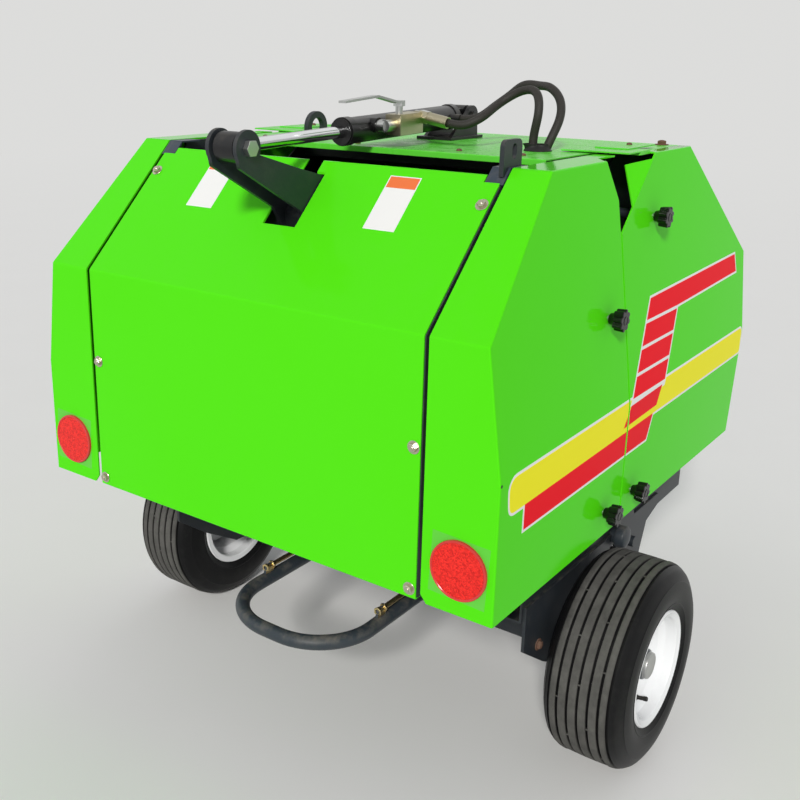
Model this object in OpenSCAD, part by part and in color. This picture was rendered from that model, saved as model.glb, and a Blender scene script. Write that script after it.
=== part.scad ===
// Small drawn round baler with a lifting rear gate.
// Lengths are in mm. X runs forward from the rear face of the gate, Y to the left, Z up from the ground.
// Everything is shifted along X at the end, so that the origin lies under the middle of the machine.

/* [Body] */
// Width over the side covers, up to their fold
body_w = 1029; // [1000:1:1060]
// Width over the side covers at the top
top_w = 904; // [880:1:930]
// Height of the covers' lower edge above the ground
body_bottom = 487; // [470:1:505]
// Height of the fold along the side covers
fold_h = 719; // [690:1:750]
// Height of the top sheets
top_h = 1150; // [1148:1:1153]
// Height of the fold between the gate's upright face and its slope
rear_slope_h = 924; // [900:1:940]
// Place of the gate's top edge
rear_top_x = 228; // [224:1:232]
// Thickness of the cover sheets
sheet_t = 3; // [2:0.5:3.5]
// Gap between neighbouring cover sheets
seam_gap = 6; // [5:0.5:8]

/* [Nose] */
// Place of the fold between the top and the nose slope
nose_top_x = 839; // [820:1:850]
// Foremost point of the nose
nose_x = 1162; // [1150:1:1175]
// Height of the foremost point of the nose
nose_slope_h = 899; // [880:1:915]
// Place of the nose covers' lower corner
nose_foot_x = 1105; // [1095:1:1115]
// Height of the nose's opening above the drive stub
nose_open_h = 100; // [95:1:115]

/* [Gate] */
// Place of the gate's hinge
hinge_x = 488; // [486:0.5:490]
// Height of the top sheets above the gate's hinge
hinge_h = 130; // [128:0.5:132]
// Radius of the hinge pins
hinge_pin_r = 12; // [10:0.5:14]
// Place of the seam between rear and front covers
seam_x = 476; // [474:0.5:478]
// Slope of the front covers' edge above the hinge, in degrees
v_angle = 37.9; // [36:0.1:39]
// Thickness of the chamber's side plates
plate_t = 6; // [5:0.5:7]
// Outside width over the chamber's side plates
chamber_w = 754; // [748:1:758]

/* [Bale chamber] */
// Place of the chamber's centre
chamber_x = 490; // [488:0.5:492]
// Height of the chamber's centre
chamber_h = 710; // [708:0.5:712]
// Radius of the bale
bale_r = 250; // [248:0.5:252]
// Radius of a roller
roller_r = 40; // [36:0.5:41]
// Angle between neighbouring rollers on the chamber's circle, in degrees
roller_step = 24; // [23.5:0.25:24.5]

/* [Cylinder] */
// Height of the rod's pin above the top sheets, with the gate shut
rod_pin_h = 23; // [20:1:26]
// Place of the pin at the barrel's base
base_pin_x = 700; // [696:1:704]
// Height of the pin at the barrel's base above the top sheets
base_pin_h = 45; // [42:1:48]
// Radius of the rod
rod_r = 11; // [9:0.5:12]
// Radius of the barrel
barrel_r = 24; // [21:0.5:25]
// Distance from the rod's pin to the barrel's mouth
rod_out = 286; // [280:1:290]

/* [Running gear] */
// Outside radius of a tyre
tyre_r = 203; // [200:1:206]
// Width of a tyre
tyre_w = 160; // [150:1:164]
// Distance between the middles of the tyres
track_w = 1080; // [1076:1:1100]
// Place of the axle
axle_x = 495; // [490:1:500]
// Radius of a stub axle
stub_r = 15; // [13:0.5:17]
// Depth of the tyre's side wall, from the tread to the rim
tyre_wall = 91; // [86:1:94]

/* [Pick-up] */
// Place of the pick-up reel's axis
reel_x = 750; // [748:1:756]
// Height of the pick-up reel's axis
reel_h = 280; // [275:1:282]
// Radius at the tines' tips
tine_tip_r = 190; // [184:1:192]
// Radius of the circle through the tine bars
tine_bar_r = 92; // [86:1:96]
// Outside radius of the bands between the tines
band_r = 128; // [122:1:132]
// Number of tine bars
tine_bars = 4; // [3:1:5]
// Number of tines along a bar
tines = 11; // [9:1:12]
// Thickness of a tine
tine_d = 6; // [5:0.5:7]

/* [Drawbar] */
// Place of the hitch pin's hole
hitch_x = 1480; // [1470:1:1500]
// Height of the drawbar's middle
hitch_h = 440; // [436:1:446]
// Radius of the hitch hole
hitch_r = 13; // [11:0.5:14]
// Radius of the drive stub
pto_r = 17.5; // [15:0.5:18]
// Height of the gearbox and its stub above the drawbar
pto_h = 160; // [156:1:164]

/* [Hidden] */
$fn = 48;

slack = 0.3;          // air between faces that touch on different bodies
run_fit = 0.05;       // radial clearance of a turning or sliding fit
// Heights above the ground
hinge_z = top_h - hinge_h;
rod_pin_z = top_h + rod_pin_h;
base_pin_z = top_h + base_pin_h;
pto_z = hitch_h + pto_h;
nose_open_z = pto_z + nose_open_h;
hw_fold = body_w / 2;
hw_top = top_w / 2;
side_lean = (hw_fold - hw_top) / (top_h - fold_h);
plate_out = chamber_w / 2;
plate_in = plate_out - plate_t;
front_edge_x = seam_x + seam_gap;
arm_end_r = 29;
tongue_hw = 30;       // half the width of the drawbar's tongue
front_tip_x = hitch_x + tongue_hw;
mid_x = (front_tip_x - arm_end_r) / 2;
v_top_x = hinge_x + (top_h - hinge_z) / tan(v_angle);

// Half the outside width of the covers at height z
function half_w(z) = z < fold_h ? hw_fold : hw_fold - (z - fold_h) * side_lean;
// Place of the nose's sloping front edge at height z, below its foremost point
function nose_at(z) = nose_foot_x + (z - body_bottom) * (nose_x - nose_foot_x) / (nose_slope_h - body_bottom);

function turned_left(a, b) = let (d = (b - a) / norm(b - a)) [-d[1], d[0]];
// The bent line of points p, moved to its left by t
function moved_left(p, t) = let (
        n = len(p) - 1,
        before = [for (i = [0:n]) turned_left(p[max(i - 1, 0)], p[max(i, 1)])],
        after = [for (i = [0:n]) turned_left(p[min(i, n - 1)], p[min(i + 1, n)])])
    [for (i = [0:n]) p[i] + t * (before[i] + after[i]) / (1 + before[i] * after[i])];
function backwards(p) = [for (i = [len(p) - 1:-1:0]) p[i]];
// Closed outline of a sheet of thickness t that follows the bent line of points p, on its left
function bent_sheet(p, t) = concat(p, backwards(moved_left(p, t)));

// Side outline of points [x, z], drawn out from y0 to y1
module side_plate(points, y0, y1)
    translate([0, y1, 0]) rotate([90, 0, 0]) linear_extrude(y1 - y0) polygon(points);
// Rear outline of points [y, z], drawn out from x0 to x1
module cross_plate(points, x0, x1)
    translate([x0, 0, 0]) rotate([90, 0, 90]) linear_extrude(x1 - x0) polygon(points);
// Box between two corners
module box(a, b) translate(a) cube(b - a);
// Round bar along Y
module bar_y(x, z, r, y0, y1) translate([x, y1, z]) rotate([90, 0, 0]) cylinder(r = r, h = y1 - y0);
// Round bar along X
module bar_x(y, z, r, x0, x1) translate([x0, y, z]) rotate([0, 90, 0]) cylinder(r = r, h = x1 - x0);
module both_sides() { children(); mirror([0, 1, 0]) children(); }
module right_side() mirror([0, 1, 0]) children();

// Side covers: folded sheets that lean in above the fold
module cover_blank(profile, y_in, inset)
    intersection() {
        side_plate(profile, y_in, hw_fold + 1);
        cross_plate([[y_in, 0], [hw_fold - inset, 0], [hw_fold - inset, fold_h],
            [half_w(top_h + 50) - inset, top_h + 50], [y_in, top_h + 50]], -50, nose_x + 50);
    }

rear_strip_y = plate_out + 7;
rear_top_front_x = 433;
tongue_x = 541;
tongue_w = 36;
stud_r = 5;
stud_hole_r = 5.5;
// Places of the cover knobs on the front covers and on the gate's covers, as [x, z]
front_knobs = [[630, 1037], [525, 537]];
gate_knobs_at = [[406, 889], [400, 535]];

module stud_holes(places)
    for (p = places) bar_y(p[0], p[1], stud_hole_r, half_w(p[1]) - 20, half_w(p[1]) + 20);

module rear_cover() color("limegreen") difference() {
    union() {
        difference() {
            cover_blank([[0, body_bottom], [seam_x, body_bottom], [seam_x, hinge_z + 4],
                [seam_x - 2, hinge_z + 62], [rear_top_front_x, top_h], [rear_top_x, top_h], [0, rear_slope_h]],
                rear_strip_y, 0);
            cover_blank([[sheet_t, 0], [seam_x + 1, 0], [seam_x + 1, top_h - sheet_t],
                [rear_top_x + sheet_t / 2, top_h - sheet_t], [sheet_t, rear_slope_h - sheet_t / 2]],
                rear_strip_y - 1, sheet_t);
        }
        // tongue of the top strip, which dips under the top cover as the gate lifts
        translate([0, 0, top_h - sheet_t]) linear_extrude(sheet_t)
            polygon([[rear_top_front_x - 20, rear_strip_y], [tongue_x, rear_strip_y],
                [tongue_x, rear_strip_y + tongue_w], [rear_top_front_x + 35, rear_strip_y + tongue_w],
                [rear_top_front_x - 5, hw_top - 2], [rear_top_front_x - 20, hw_top - 2]]);
    }
    stud_holes(gate_knobs_at);
    // clipped lower inner corner
    cross_plate([[rear_strip_y - 1, body_bottom - 1], [rear_strip_y + 12, body_bottom - 1],
        [rear_strip_y - 1, body_bottom + 16]], -1, sheet_t + 1);
}

cover_return = 24;
// Corner points of the guard, along the sloping edge and out from it
guard = [[61, 0], [196, 0], [133, 50]];
guard_bend = 27;
lean_angle = atan(side_lean);
module front_cover() color("limegreen") difference() {
    union() {
        difference() {
            cover_blank([[front_edge_x, body_bottom], [nose_foot_x, body_bottom], [nose_x, nose_slope_h],
                [nose_top_x, top_h], [v_top_x, top_h], [front_edge_x, hinge_z + 3]], hw_top - cover_return, 0);
            cover_blank([[front_edge_x - 1, 0], [nose_foot_x - sheet_t, 0], [nose_foot_x - sheet_t, body_bottom],
                [nose_x - sheet_t, nose_slope_h - sheet_t / 2], [nose_top_x - sheet_t / 2, top_h - sheet_t],
                [v_top_x - 1, top_h - sheet_t], [v_top_x - 1, top_h + 1], [front_edge_x - 1, top_h + 1]],
                hw_top - cover_return - 1, sheet_t);
        }
        // three-cornered guard, bent inwards along the sloping edge
        translate([hinge_x, half_w(hinge_z), hinge_z]) rotate([lean_angle, 0, 0])
            rotate([0, -atan(tan(v_angle) / cos(lean_angle)), 0]) rotate([guard_bend, 0, 0])
                rotate([90, 0, 0]) linear_extrude(sheet_t) polygon(guard);
    }
    stud_holes(front_knobs);
}

// One knob with five lobes on its stud, standing off the cover at p = [x, z]
knob_r = 17;
knob_t = 22;
stand_off = 10;
stay_back = 14;
module knob(p) translate([p[0], half_w(p[1]), p[1]]) rotate([-90, 0, 0]) {
    translate([0, 0, -stay_back]) cylinder(r = stud_r, h = stay_back + stand_off + 2);
    translate([0, 0, stand_off - 6]) cylinder(r = 9, h = 8);
    translate([0, 0, stand_off]) linear_extrude(knob_t) union() {
        circle(r = 12);
        for (i = [0:4]) rotate(i * 72) translate([12, 0]) circle(r = 6);
    }
}
module knobs(places) color("black") both_sides() for (p = places) knob(p);

// Spacer tubes from the side plates to just inside the covers
module stays(places) for (p = places)
    bar_y(p[0], p[1], 9, plate_out - 1, half_w(p[1]) - stay_back);

// Chamber side plate, front half, with the gate's hinge pin
boss_r = 26;
// Outline of the nose, from its lower corner up to the top sheet
nose_line = [[nose_foot_x, body_bottom], [nose_x, nose_slope_h], [nose_top_x, top_h], [hinge_x, top_h]];
nose_inside = moved_left(nose_line, sheet_t);
rail_bottom = 345;
rail_top = 401;
rail_front_x = 1053;
module chamber_side() color("darkslategray") difference() {
    union() {
        side_plate([[300, rail_bottom], [rail_front_x, rail_bottom], [rail_front_x, rail_top + 14],
            nose_inside[0], nose_inside[1], nose_inside[2], [v_top_x + 4, top_h - sheet_t],
            [hinge_x + 20, hinge_z + 14], [front_edge_x, hinge_z - 10], [front_edge_x, rail_top], [300, rail_top]],
            plate_in, plate_out);
        bar_y(hinge_x, hinge_z, boss_r, plate_in, plate_out);
        bar_y(hinge_x, hinge_z, hinge_pin_r, plate_out - 1, plate_out + 18);
        stays(front_knobs);
    }
}

ear_y = plate_out + 1;
ear_t = 8;
// Gate side plate with the hinge ear outside the chamber plate; the right one carries the lifting eye
module gate_side(eye) color("slategray") difference() {
    union() {
        difference() {
            side_plate([skin_inside[2], skin_inside[1], skin_inside[0], [rear_top_front_x + 5, top_h - 4],
                [seam_x - 2, hinge_z + 34], [seam_x - 2, rail_top + 7], [300, rail_top + 7], [200, body_bottom + 3]],
                plate_in, plate_out);
            bar_y(hinge_x, hinge_z, boss_r + 8, plate_in - 1, plate_out + 1);
        }
        side_plate([[hinge_x, hinge_z + boss_r - 2], [hinge_x - 110, hinge_z + boss_r - 2],
            [hinge_x - 110, hinge_z - boss_r + 2], [hinge_x, hinge_z - boss_r + 2]], ear_y, ear_y + ear_t);
        bar_y(hinge_x, hinge_z, boss_r, ear_y, ear_y + ear_t);
        box([hinge_x - 110, plate_out - 1, hinge_z - boss_r + 2], [hinge_x - 45, ear_y + 1, hinge_z + boss_r - 2]);
        stays(gate_knobs_at);
        if (eye) lifting_eye();
    }
    bar_y(hinge_x, hinge_z, hinge_pin_r + run_fit, plate_in, ear_y + ear_t + 1);
    if (!eye) bar_y(eye_x + 15, top_h - 11, 7, plate_in - 1, plate_out + 1);
}

eye_x = 240;
eye_w = 60;
eye_top = top_h + 43;
module lifting_eye() difference() {
    union() {
        box([eye_x - eye_w / 2, plate_in - 2, top_h - 14], [eye_x + eye_w / 2, plate_out, eye_top - 12]);
        box([eye_x - eye_w / 2 + 12, plate_in - 2, eye_top - 14], [eye_x + eye_w / 2 - 12, plate_out, eye_top]);
        for (s = [-1, 1]) bar_y(eye_x + s * (eye_w / 2 - 12), eye_top - 12, 12, plate_in - 2, plate_out);
    }
    for (z = [eye_top - 24, eye_top - 14]) bar_y(eye_x + 4, z, 7, plate_in - 5, plate_out + 5);
    box([eye_x - 3, plate_in - 5, eye_top - 24], [eye_x + 11, plate_out + 5, eye_top - 14]);
}

// Gate skin: one sheet folded at the foot and at the slope, open where the arm and the rod come through
skin_line = [[rear_top_x, top_h], [0, rear_slope_h], [0, body_bottom], [26, body_bottom]];
skin_inside = moved_left(skin_line, sheet_t);
skin_hw = plate_out - 2;
skin_top_x = rear_top_x - 13;
notch_hw = 36;
module gate_skin() color("limegreen") difference() {
    side_plate(bent_sheet(skin_line, sheet_t), -skin_hw, skin_hw);
    box([111, -notch_hw, body_bottom + 100], [197, notch_hw, top_h + 10]);
    box([150, -rod_r - 6, top_h - 150], [rear_top_x + 20, rod_r + 6, top_h + 10]);
    box([100, -skin_hw - 1, slope_at(skin_top_x)], [rear_top_x + 20, skin_hw + 1, top_h + 10]);
    both_sides() box([rear_top_x - 23, skin_hw - 29, top_h - 50], [rear_top_x + 20, skin_hw + 1, top_h + 10]);
}

// Height of the gate's slope at place x
function slope_at(x) = rear_slope_h + x * (top_h - rear_slope_h) / rear_top_x;

// Two cranked plates that carry the rod's pin, on the gate's cross tube
arm_in = 26;
arm_t = 8;
cross_tube_x = 190;
cross_tube_z = top_h - 110;
cross_tube_r = 30;
rod_bolt_r = 8;
module gate_arm() color("darkslategray") {
    both_sides() difference() {
        union() {
            side_plate([[-24, rod_pin_z - 16], [-20, rod_pin_z - 31],
                [cross_tube_x - 60, cross_tube_z + 20], [cross_tube_x - 40, cross_tube_z - 10],
                [cross_tube_x, cross_tube_z - 28], [cross_tube_x + 28, cross_tube_z + 12],
                [cross_tube_x + 10, slope_at(cross_tube_x + 10) - 14], [cross_tube_x, slope_at(cross_tube_x) + 3],
                [cross_tube_x - 60, cross_tube_z + 91], [26, rod_pin_z - 12]],
                arm_in, arm_in + arm_t);
            bar_y(0, rod_pin_z, arm_end_r, arm_in, arm_in + arm_t);
        }
        bar_y(0, rod_pin_z, rod_bolt_r, 0, 60);
    }
    bar_y(cross_tube_x, cross_tube_z, cross_tube_r, -plate_in, plate_in);
}

module rod_pin() color("silver") {
    bar_y(0, rod_pin_z, rod_bolt_r, -arm_in - arm_t - 1, arm_in + arm_t + 1);
    both_sides() translate([0, arm_in + arm_t + 10, rod_pin_z]) rotate([90, 0, 0]) cylinder(r = 14, h = 10, $fn = 6);
}

// The cylinder's own frame: X along the rod, origin at the rod's pin
cyl_len = norm([base_pin_x, base_pin_z - rod_pin_z]);
cyl_tilt = atan2(base_pin_z - rod_pin_z, base_pin_x);
module along_cylinder() translate([0, 0, rod_pin_z]) rotate([0, -cyl_tilt, 0]) children();

eye_play = 9.5;       // free play of the rod's eye round its bolt
eye_r = 25;
eye_hw = 21;
rod_end = 440;
module cylinder_rod() color("gainsboro") along_cylinder() difference() {
    union() {
        bar_y(0, 0, eye_r, -eye_hw, eye_hw);
        bar_x(0, 0, rod_r, eye_r - 4, rod_end);
        bar_x(0, 0, rod_r + 4, eye_r - 4, eye_r + 8);
    }
    bar_y(0, 0, rod_bolt_r + eye_play, -eye_hw - 1, eye_hw + 1);
}

barrel_end = cyl_len - 34;
base_pin_r = 10;
port_x = 420;
rear_port_x = barrel_end - 34;
rear_port_y = barrel_r + 22;
module cylinder_barrel() color("black") along_cylinder() difference() {
    union() {
        bar_x(0, 0, barrel_r, rod_out, barrel_end);
        bar_x(0, 0, barrel_r + 2, rod_out + 4, rod_out + 22);
        bar_x(0, 0, barrel_r + 2, barrel_end - 16, barrel_end);
        box([barrel_end - 2, -20, -16], [cyl_len, 20, 16]);
        bar_y(cyl_len, 0, 22, -20, 20);
        // flat pads for the valve block and the rear port
        box([port_x - 24, -barrel_r - 6, -10], [port_x + 24, -8, 14]);
        bar_y(port_x - 56, 7, 14, valve_y, -8);
        bar_y(rear_port_x, 0, 9, -rear_port_y, 0);
    }
    bar_x(0, 0, rod_r + run_fit, rod_out - 1, cyl_len - 55);
    bar_y(cyl_len, 0, base_pin_r + run_fit, -30, 30);
}

valve_y = -barrel_r - 6;
hose_r = 8;
ferrule_x = 466.5;
ferrule_y = -117;
ferrule_h = 7.3;
ferrule_len = 46;
module valve_block() color("tan") along_cylinder() {
    box([port_x - 34, valve_y - 34, -12], [port_x + 42, valve_y, 26]);
    bar_x(valve_y - 17, 7, 11, port_x - 62, port_x - 34);
    bar_y(port_x - 56, 7, 11, valve_y - 17, valve_y);
    // elbow, hexagon and ferrule of the front hose
    bar_x(valve_y - 17, 17, 10, port_x + 40, port_x + 60);
    translate([ferrule_x, ferrule_y, ferrule_h]) rotate([-80, 0, 0]) {
        cylinder(r = hose_r + 3, h = ferrule_len);
        translate([0, 0, ferrule_len - 2]) cylinder(r = 13, h = 18, $fn = 6);
        cylinder(r = 9, h = ferrule_len + 28);
    }
    // ball valve stem and its flat lever
    translate([port_x - 14, valve_y - 17, 26]) cylinder(r = 7, h = 20);
    translate([port_x - 14, valve_y - 17, 40]) cylinder(r = 11, h = 6, $fn = 6);
    side_plate([[port_x - 6, 46], [port_x - 6, 50], [port_x - 26, 50], [port_x - 90, 64], [port_x - 190, 60],
        [port_x - 190, 56], [port_x - 90, 60], [port_x - 28, 46]], valve_y - 25, valve_y - 9);
}

mount_in = 26;
module cylinder_mount() color("black") {
    both_sides() difference() {
        union() {
            side_plate([[base_pin_x - 88, top_h], [base_pin_x + 24, top_h],
                [base_pin_x + 18, base_pin_z + 14], [base_pin_x - 18, base_pin_z + 12]],
                mount_in, mount_in + 8);
            bar_y(base_pin_x, base_pin_z, 22, mount_in, mount_in + 8);
        }
    }
    bar_y(base_pin_x, base_pin_z, base_pin_r, -mount_in - 14, mount_in + 14);
    box([base_pin_x - 96, -mount_in - 16, top_h], [base_pin_x + 32, mount_in + 16, top_h + 6]);
}

// Top sheet, with the wide part in front of the gate's covers
top_rear_x = 380;
wide_x = 549;
flap_in = 317;
flap_lift = 2;
top_inner_hw = plate_in - 6;
top_slot_hw = hw_top - 9;
top_front_hw = hw_top - cover_return - 2;
flap_x = v_top_x - 6;
hose_hole_x = 524;
hose_hole_y = 277;
module top_cover() color("yellowgreen") difference() {
    union() {
        translate([0, 0, top_h - sheet_t]) linear_extrude(sheet_t) polygon([
            [top_rear_x, -top_inner_hw], [600, -top_inner_hw], [600, -top_slot_hw], [flap_x, -top_slot_hw],
            [flap_x, -top_front_hw], [nose_top_x - 2, -top_front_hw], [nose_top_x - 2, top_front_hw],
            [flap_x, top_front_hw], [flap_x, top_slot_hw], [600, top_slot_hw], [600, top_inner_hw],
            [top_rear_x, top_inner_hw]]);
        box([top_rear_x, -top_inner_hw, top_h - 11], [top_rear_x + sheet_t, top_inner_hw, top_h]);
        // lifted flaps over the tongues of the gate's covers
        both_sides() {
            translate([0, 0, top_h + flap_lift]) linear_extrude(sheet_t) polygon([[wide_x - 12, flap_in],
                [wide_x, plate_in - 3], [wide_x, top_slot_hw], [flap_x, top_slot_hw], [flap_x, flap_in]]);
            box([602, flap_in, top_h - 1], [flap_x, top_slot_hw, top_h + flap_lift + 1]);
        }
    }
    translate([hose_hole_x, -hose_hole_y, top_h - 10]) cylinder(r = 24, h = 20);
}

// Nose sheet over the twine box, with its floor turned in
module nose_sheet() color("limegreen") {
    hw = hw_top - cover_return - 2;
    front_line = [[nose_at(nose_open_z), nose_open_z], [nose_x, nose_slope_h], [nose_top_x, top_h]];
    side_plate(bent_sheet(front_line, sheet_t), -hw, hw);
    box([front_sheet_x, -plate_in, nose_open_z], [nose_at(nose_open_z) - 1, plate_in, nose_open_z + sheet_t]);
}

// Bent sheet that closes the front of the bale chamber
front_sheet_x = chamber_x + 390;
module front_sheet() color("slategray")
    side_plate(bent_sheet([[front_sheet_x - 68, chamber_h - 210], [front_sheet_x, chamber_h - 110],
        [front_sheet_x, chamber_h + 170], [front_sheet_x - 110, chamber_h + 350]], sheet_t), -plate_in, plate_in);

// The chamber is half in the frame and half in the gate; the gap at the front lets the crop in
frame_roller_angles = [for (i = [0:4]) 88 - i * roller_step, 88 + 8 * roller_step];
gate_roller_angles = [for (i = [1:7]) 88 + i * roller_step];
roller_ring_r = bale_r + roller_r + 4;
roller_hw = plate_in;
roller_ribs = 8;
// Ribbed roller at an angle on the chamber's circle
module roller(a) translate([chamber_x + roller_ring_r * cos(a), roller_hw, chamber_h + roller_ring_r * sin(a)])
    rotate([90, 0, 0]) {
        cylinder(r = 14, h = 2 * roller_hw);
        translate([0, 0, 4]) cylinder(r = roller_r - 5, h = 2 * roller_hw - 8, $fn = 32);
        for (i = [0:roller_ribs - 1]) rotate(i * 360 / roller_ribs)
            translate([roller_r - 8, -4, 4]) cube([8, 8, 2 * roller_hw - 8]);
    }
module rollers(angles) color("dimgray") for (a = angles) roller(a);

// Chassis rails, axle and hangers
tyre_clear = 23;      // air between a rail and the tyre beside it
rail_rear_x = 200;
hanger_t = 6;
rail_out = track_w / 2 - tyre_w / 2 - tyre_clear;
module rail() color("darkslategray") {
    difference() {
        box([rail_rear_x, plate_out, rail_bottom], [rail_front_x, rail_out, rail_top]);
        box([rail_rear_x - 1, plate_out + 4, rail_bottom + 4], [rail_front_x + 1, rail_out - 4, rail_top - 4]);
    }
    side_plate([[265, rail_bottom + 30], [265, 285], [350, 225], [axle_x - 40, tyre_r - 38], [axle_x + 40, tyre_r - 38],
        [640, rail_bottom + 10], [640, rail_bottom + 30]], rail_out, rail_out + hanger_t);
}

beam_w = 50;
cross_bar_x = 400;
cross_bar_h = 292;
cross_bar_r = 20;
module axle_beam() color("darkslategray") {
    box([axle_x - beam_w / 2, -rail_out, tyre_r - beam_w / 2], [axle_x + beam_w / 2, rail_out, tyre_r + beam_w / 2]);
    both_sides() bar_y(axle_x, tyre_r, stub_r, rail_out + hanger_t, track_w / 2 + 40);
    both_sides() bar_y(axle_x, tyre_r, stub_r + 7, rail_out + hanger_t, track_w / 2 - hub_back - slack);
    bar_y(cross_bar_x, cross_bar_h, cross_bar_r, -rail_out, rail_out);
}

// U-shaped bar behind the axle, off the middle, with two stay rods
ramp_y = -45;
ramp_hw = 139;
ramp_tube_r = 14;
ramp_rear_x = 30;
ramp_bend_r = 120;
module ramp_bar() color("darkslategray") translate([0, ramp_y, cross_bar_h]) {
    for (s = [-1, 1]) translate([ramp_rear_x + ramp_bend_r, s * ramp_hw, 0]) rotate([0, 90, 0])
        cylinder(r = ramp_tube_r, h = cross_bar_x - 22 - ramp_rear_x - ramp_bend_r);
    for (s = [-1, 1]) translate([ramp_rear_x + ramp_bend_r, s * (ramp_hw - ramp_bend_r), 0])
        rotate([0, 0, s > 0 ? 90 : 180]) rotate_extrude(angle = 90) translate([ramp_bend_r, 0]) circle(r = ramp_tube_r);
    translate([ramp_rear_x, ramp_bend_r - ramp_hw, 0]) rotate([-90, 0, 0])
        cylinder(r = ramp_tube_r, h = 2 * (ramp_hw - ramp_bend_r));
    for (s = [-1, 1]) {
        box([170, s * ramp_hw - 3, 6], [196, s * ramp_hw + 3, 34]);
        translate([180, s * ramp_hw, 26]) rotate([0, 90, 0]) cylinder(r = 5, h = 190);
        box([cross_bar_x - 42, s * ramp_hw - 3, 12], [cross_bar_x - 22, s * ramp_hw + 3, 34]);
        difference() {
            bar_y(cross_bar_x, 0, cross_bar_r + 7, s * ramp_hw - 16, s * ramp_hw + 16);
            bar_y(cross_bar_x, 0, cross_bar_r, s * ramp_hw - 17, s * ramp_hw + 17);
        }
    }
}

crossbeam_w = 60;
crossbeam_x = 990;
module front_crossbeam() color("darkslategray") {
    box([crossbeam_x, -plate_in, hitch_h - crossbeam_w / 2],
        [crossbeam_x + crossbeam_w, plate_in, hitch_h + crossbeam_w / 2]);
    box([crossbeam_x + 20, -60, hitch_h + crossbeam_w / 2], [crossbeam_x + crossbeam_w, 60, pto_z - gear_below]);
}
module top_crossbeam() color("darkslategray")
    box([base_pin_x - 60, -plate_in, top_h - sheet_t - 55], [base_pin_x, plate_in, top_h - sheet_t]);

// A-shaped drawbar with a two-eared clevis
bar_h = 50;
tongue_rear_x = hitch_x - 190;
ear_rear_x = hitch_x - 80;
jaw_x = hitch_x - 50;
clevis_gap = 34;
ear_h = 14;
module drawbar() color("darkslategray") {
    translate([0, 0, hitch_h - bar_h / 2]) linear_extrude(bar_h) {
        for (s = [-1, 1]) polygon([[crossbeam_x + crossbeam_w, s * (plate_in - 11)],
            [crossbeam_x + crossbeam_w, s * (plate_in - 76)],
            [tongue_rear_x, 0], [tongue_rear_x + 60, s * tongue_hw]]);
        polygon([[tongue_rear_x, -tongue_hw], [jaw_x, -tongue_hw], [jaw_x, tongue_hw], [tongue_rear_x, tongue_hw]]);
    }
    for (s = [-1, 1]) translate([0, 0, hitch_h + (s > 0 ? clevis_gap / 2 : -clevis_gap / 2 - ear_h)]) difference() {
        union() {
            translate([ear_rear_x, -tongue_hw, 0]) cube([hitch_x - ear_rear_x, 2 * tongue_hw, ear_h]);
            translate([hitch_x, 0, 0]) cylinder(r = tongue_hw, h = ear_h);
        }
        translate([hitch_x, 0, -1]) cylinder(r = hitch_r, h = ear_h + 2);
    }
    box([ear_rear_x, -tongue_hw, hitch_h - clevis_gap / 2 - ear_h], [jaw_x, tongue_hw, hitch_h + clevis_gap / 2 + ear_h]);
}

// Parking jack beside the tongue
jack_x = hitch_x - 100;
jack_y = tongue_hw + 42;
jack_foot_z = 230;
jack_top_z = 620;
jack_r = 28;
jack_leg_r = 23;
module jack_tube() color("dimgray") {
    difference() {
        union() {
            translate([jack_x, jack_y, jack_foot_z]) cylinder(r = jack_r, h = jack_top_z - jack_foot_z);
            translate([jack_x, jack_y, jack_top_z]) cylinder(r = jack_r + 3, h = 10);
            translate([jack_x, jack_y, jack_top_z + 8]) cylinder(r = 9, h = 26);
        }
        translate([jack_x, jack_y, jack_foot_z - 1]) cylinder(r = jack_leg_r + run_fit, h = jack_top_z - jack_foot_z - 4);
    }
    difference() {
        box([jack_x - 25, tongue_hw, hitch_h - 25], [jack_x + 25, jack_y - 10, hitch_h + 25]);
        translate([jack_x, jack_y, jack_foot_z + 10]) cylinder(r = jack_r - 1, h = jack_top_z - jack_foot_z - 20);
    }
    // crank and its grip
    translate([jack_x, jack_y, jack_top_z + 24]) rotate([0, -90, 0]) cylinder(r = 6, h = 110);
    translate([jack_x - 104, jack_y, jack_top_z + 20]) cylinder(r = 9, h = 70);
}
module jack_leg() color("silver") {
    translate([jack_x, jack_y, 6]) cylinder(r = jack_leg_r, h = 394);
    cylinder_plate(jack_x, jack_y, 62, 8);
}
module cylinder_plate(x, y, r, h) translate([x, y, 0]) cylinder(r = r, h = h);

// Gearbox block with ribs, cross shaft housing and drive stub
gear_x0 = crossbeam_x + 10;
gear_x1 = gear_x0 + 150;
gear_mid_x = (gear_x0 + gear_x1) / 2;
gear_below = 85;
gear_hw = 75;
stub_seat_r = 22;
module gearbox() color("dimgray") difference() {
    union() {
        side_plate([[gear_x0 + 20, pto_z - gear_below], [gear_x1 - 20, pto_z - gear_below],
            [gear_x1, pto_z - 60], [gear_x1, pto_z + 55], [gear_x1 - 30, pto_z + 80], [gear_x0 + 30, pto_z + 80], [gear_x0, pto_z + 55], [gear_x0, pto_z - 60]],
            -gear_hw, gear_hw);
        bar_x(0, pto_z, 60, gear_x1 - 5, gear_x1 + 12);
        bar_y(gear_mid_x, pto_z, 60, -gear_hw - 10, gear_hw + 10);
        bar_y(gear_mid_x, pto_z, 30, -plate_in, -gear_hw);
    }
    bar_x(0, pto_z, stub_seat_r + run_fit, gear_x1 - 40, gear_x1 + 20);
}
stub_len = 76;
module pto_shaft() color("silver") {
    bar_x(0, pto_z, stub_seat_r, gear_x1 - 39, gear_x1 + 14);
    bar_x(0, pto_z, pto_r, gear_x1 + 13, gear_x1 + 14 + stub_len);
}
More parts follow.
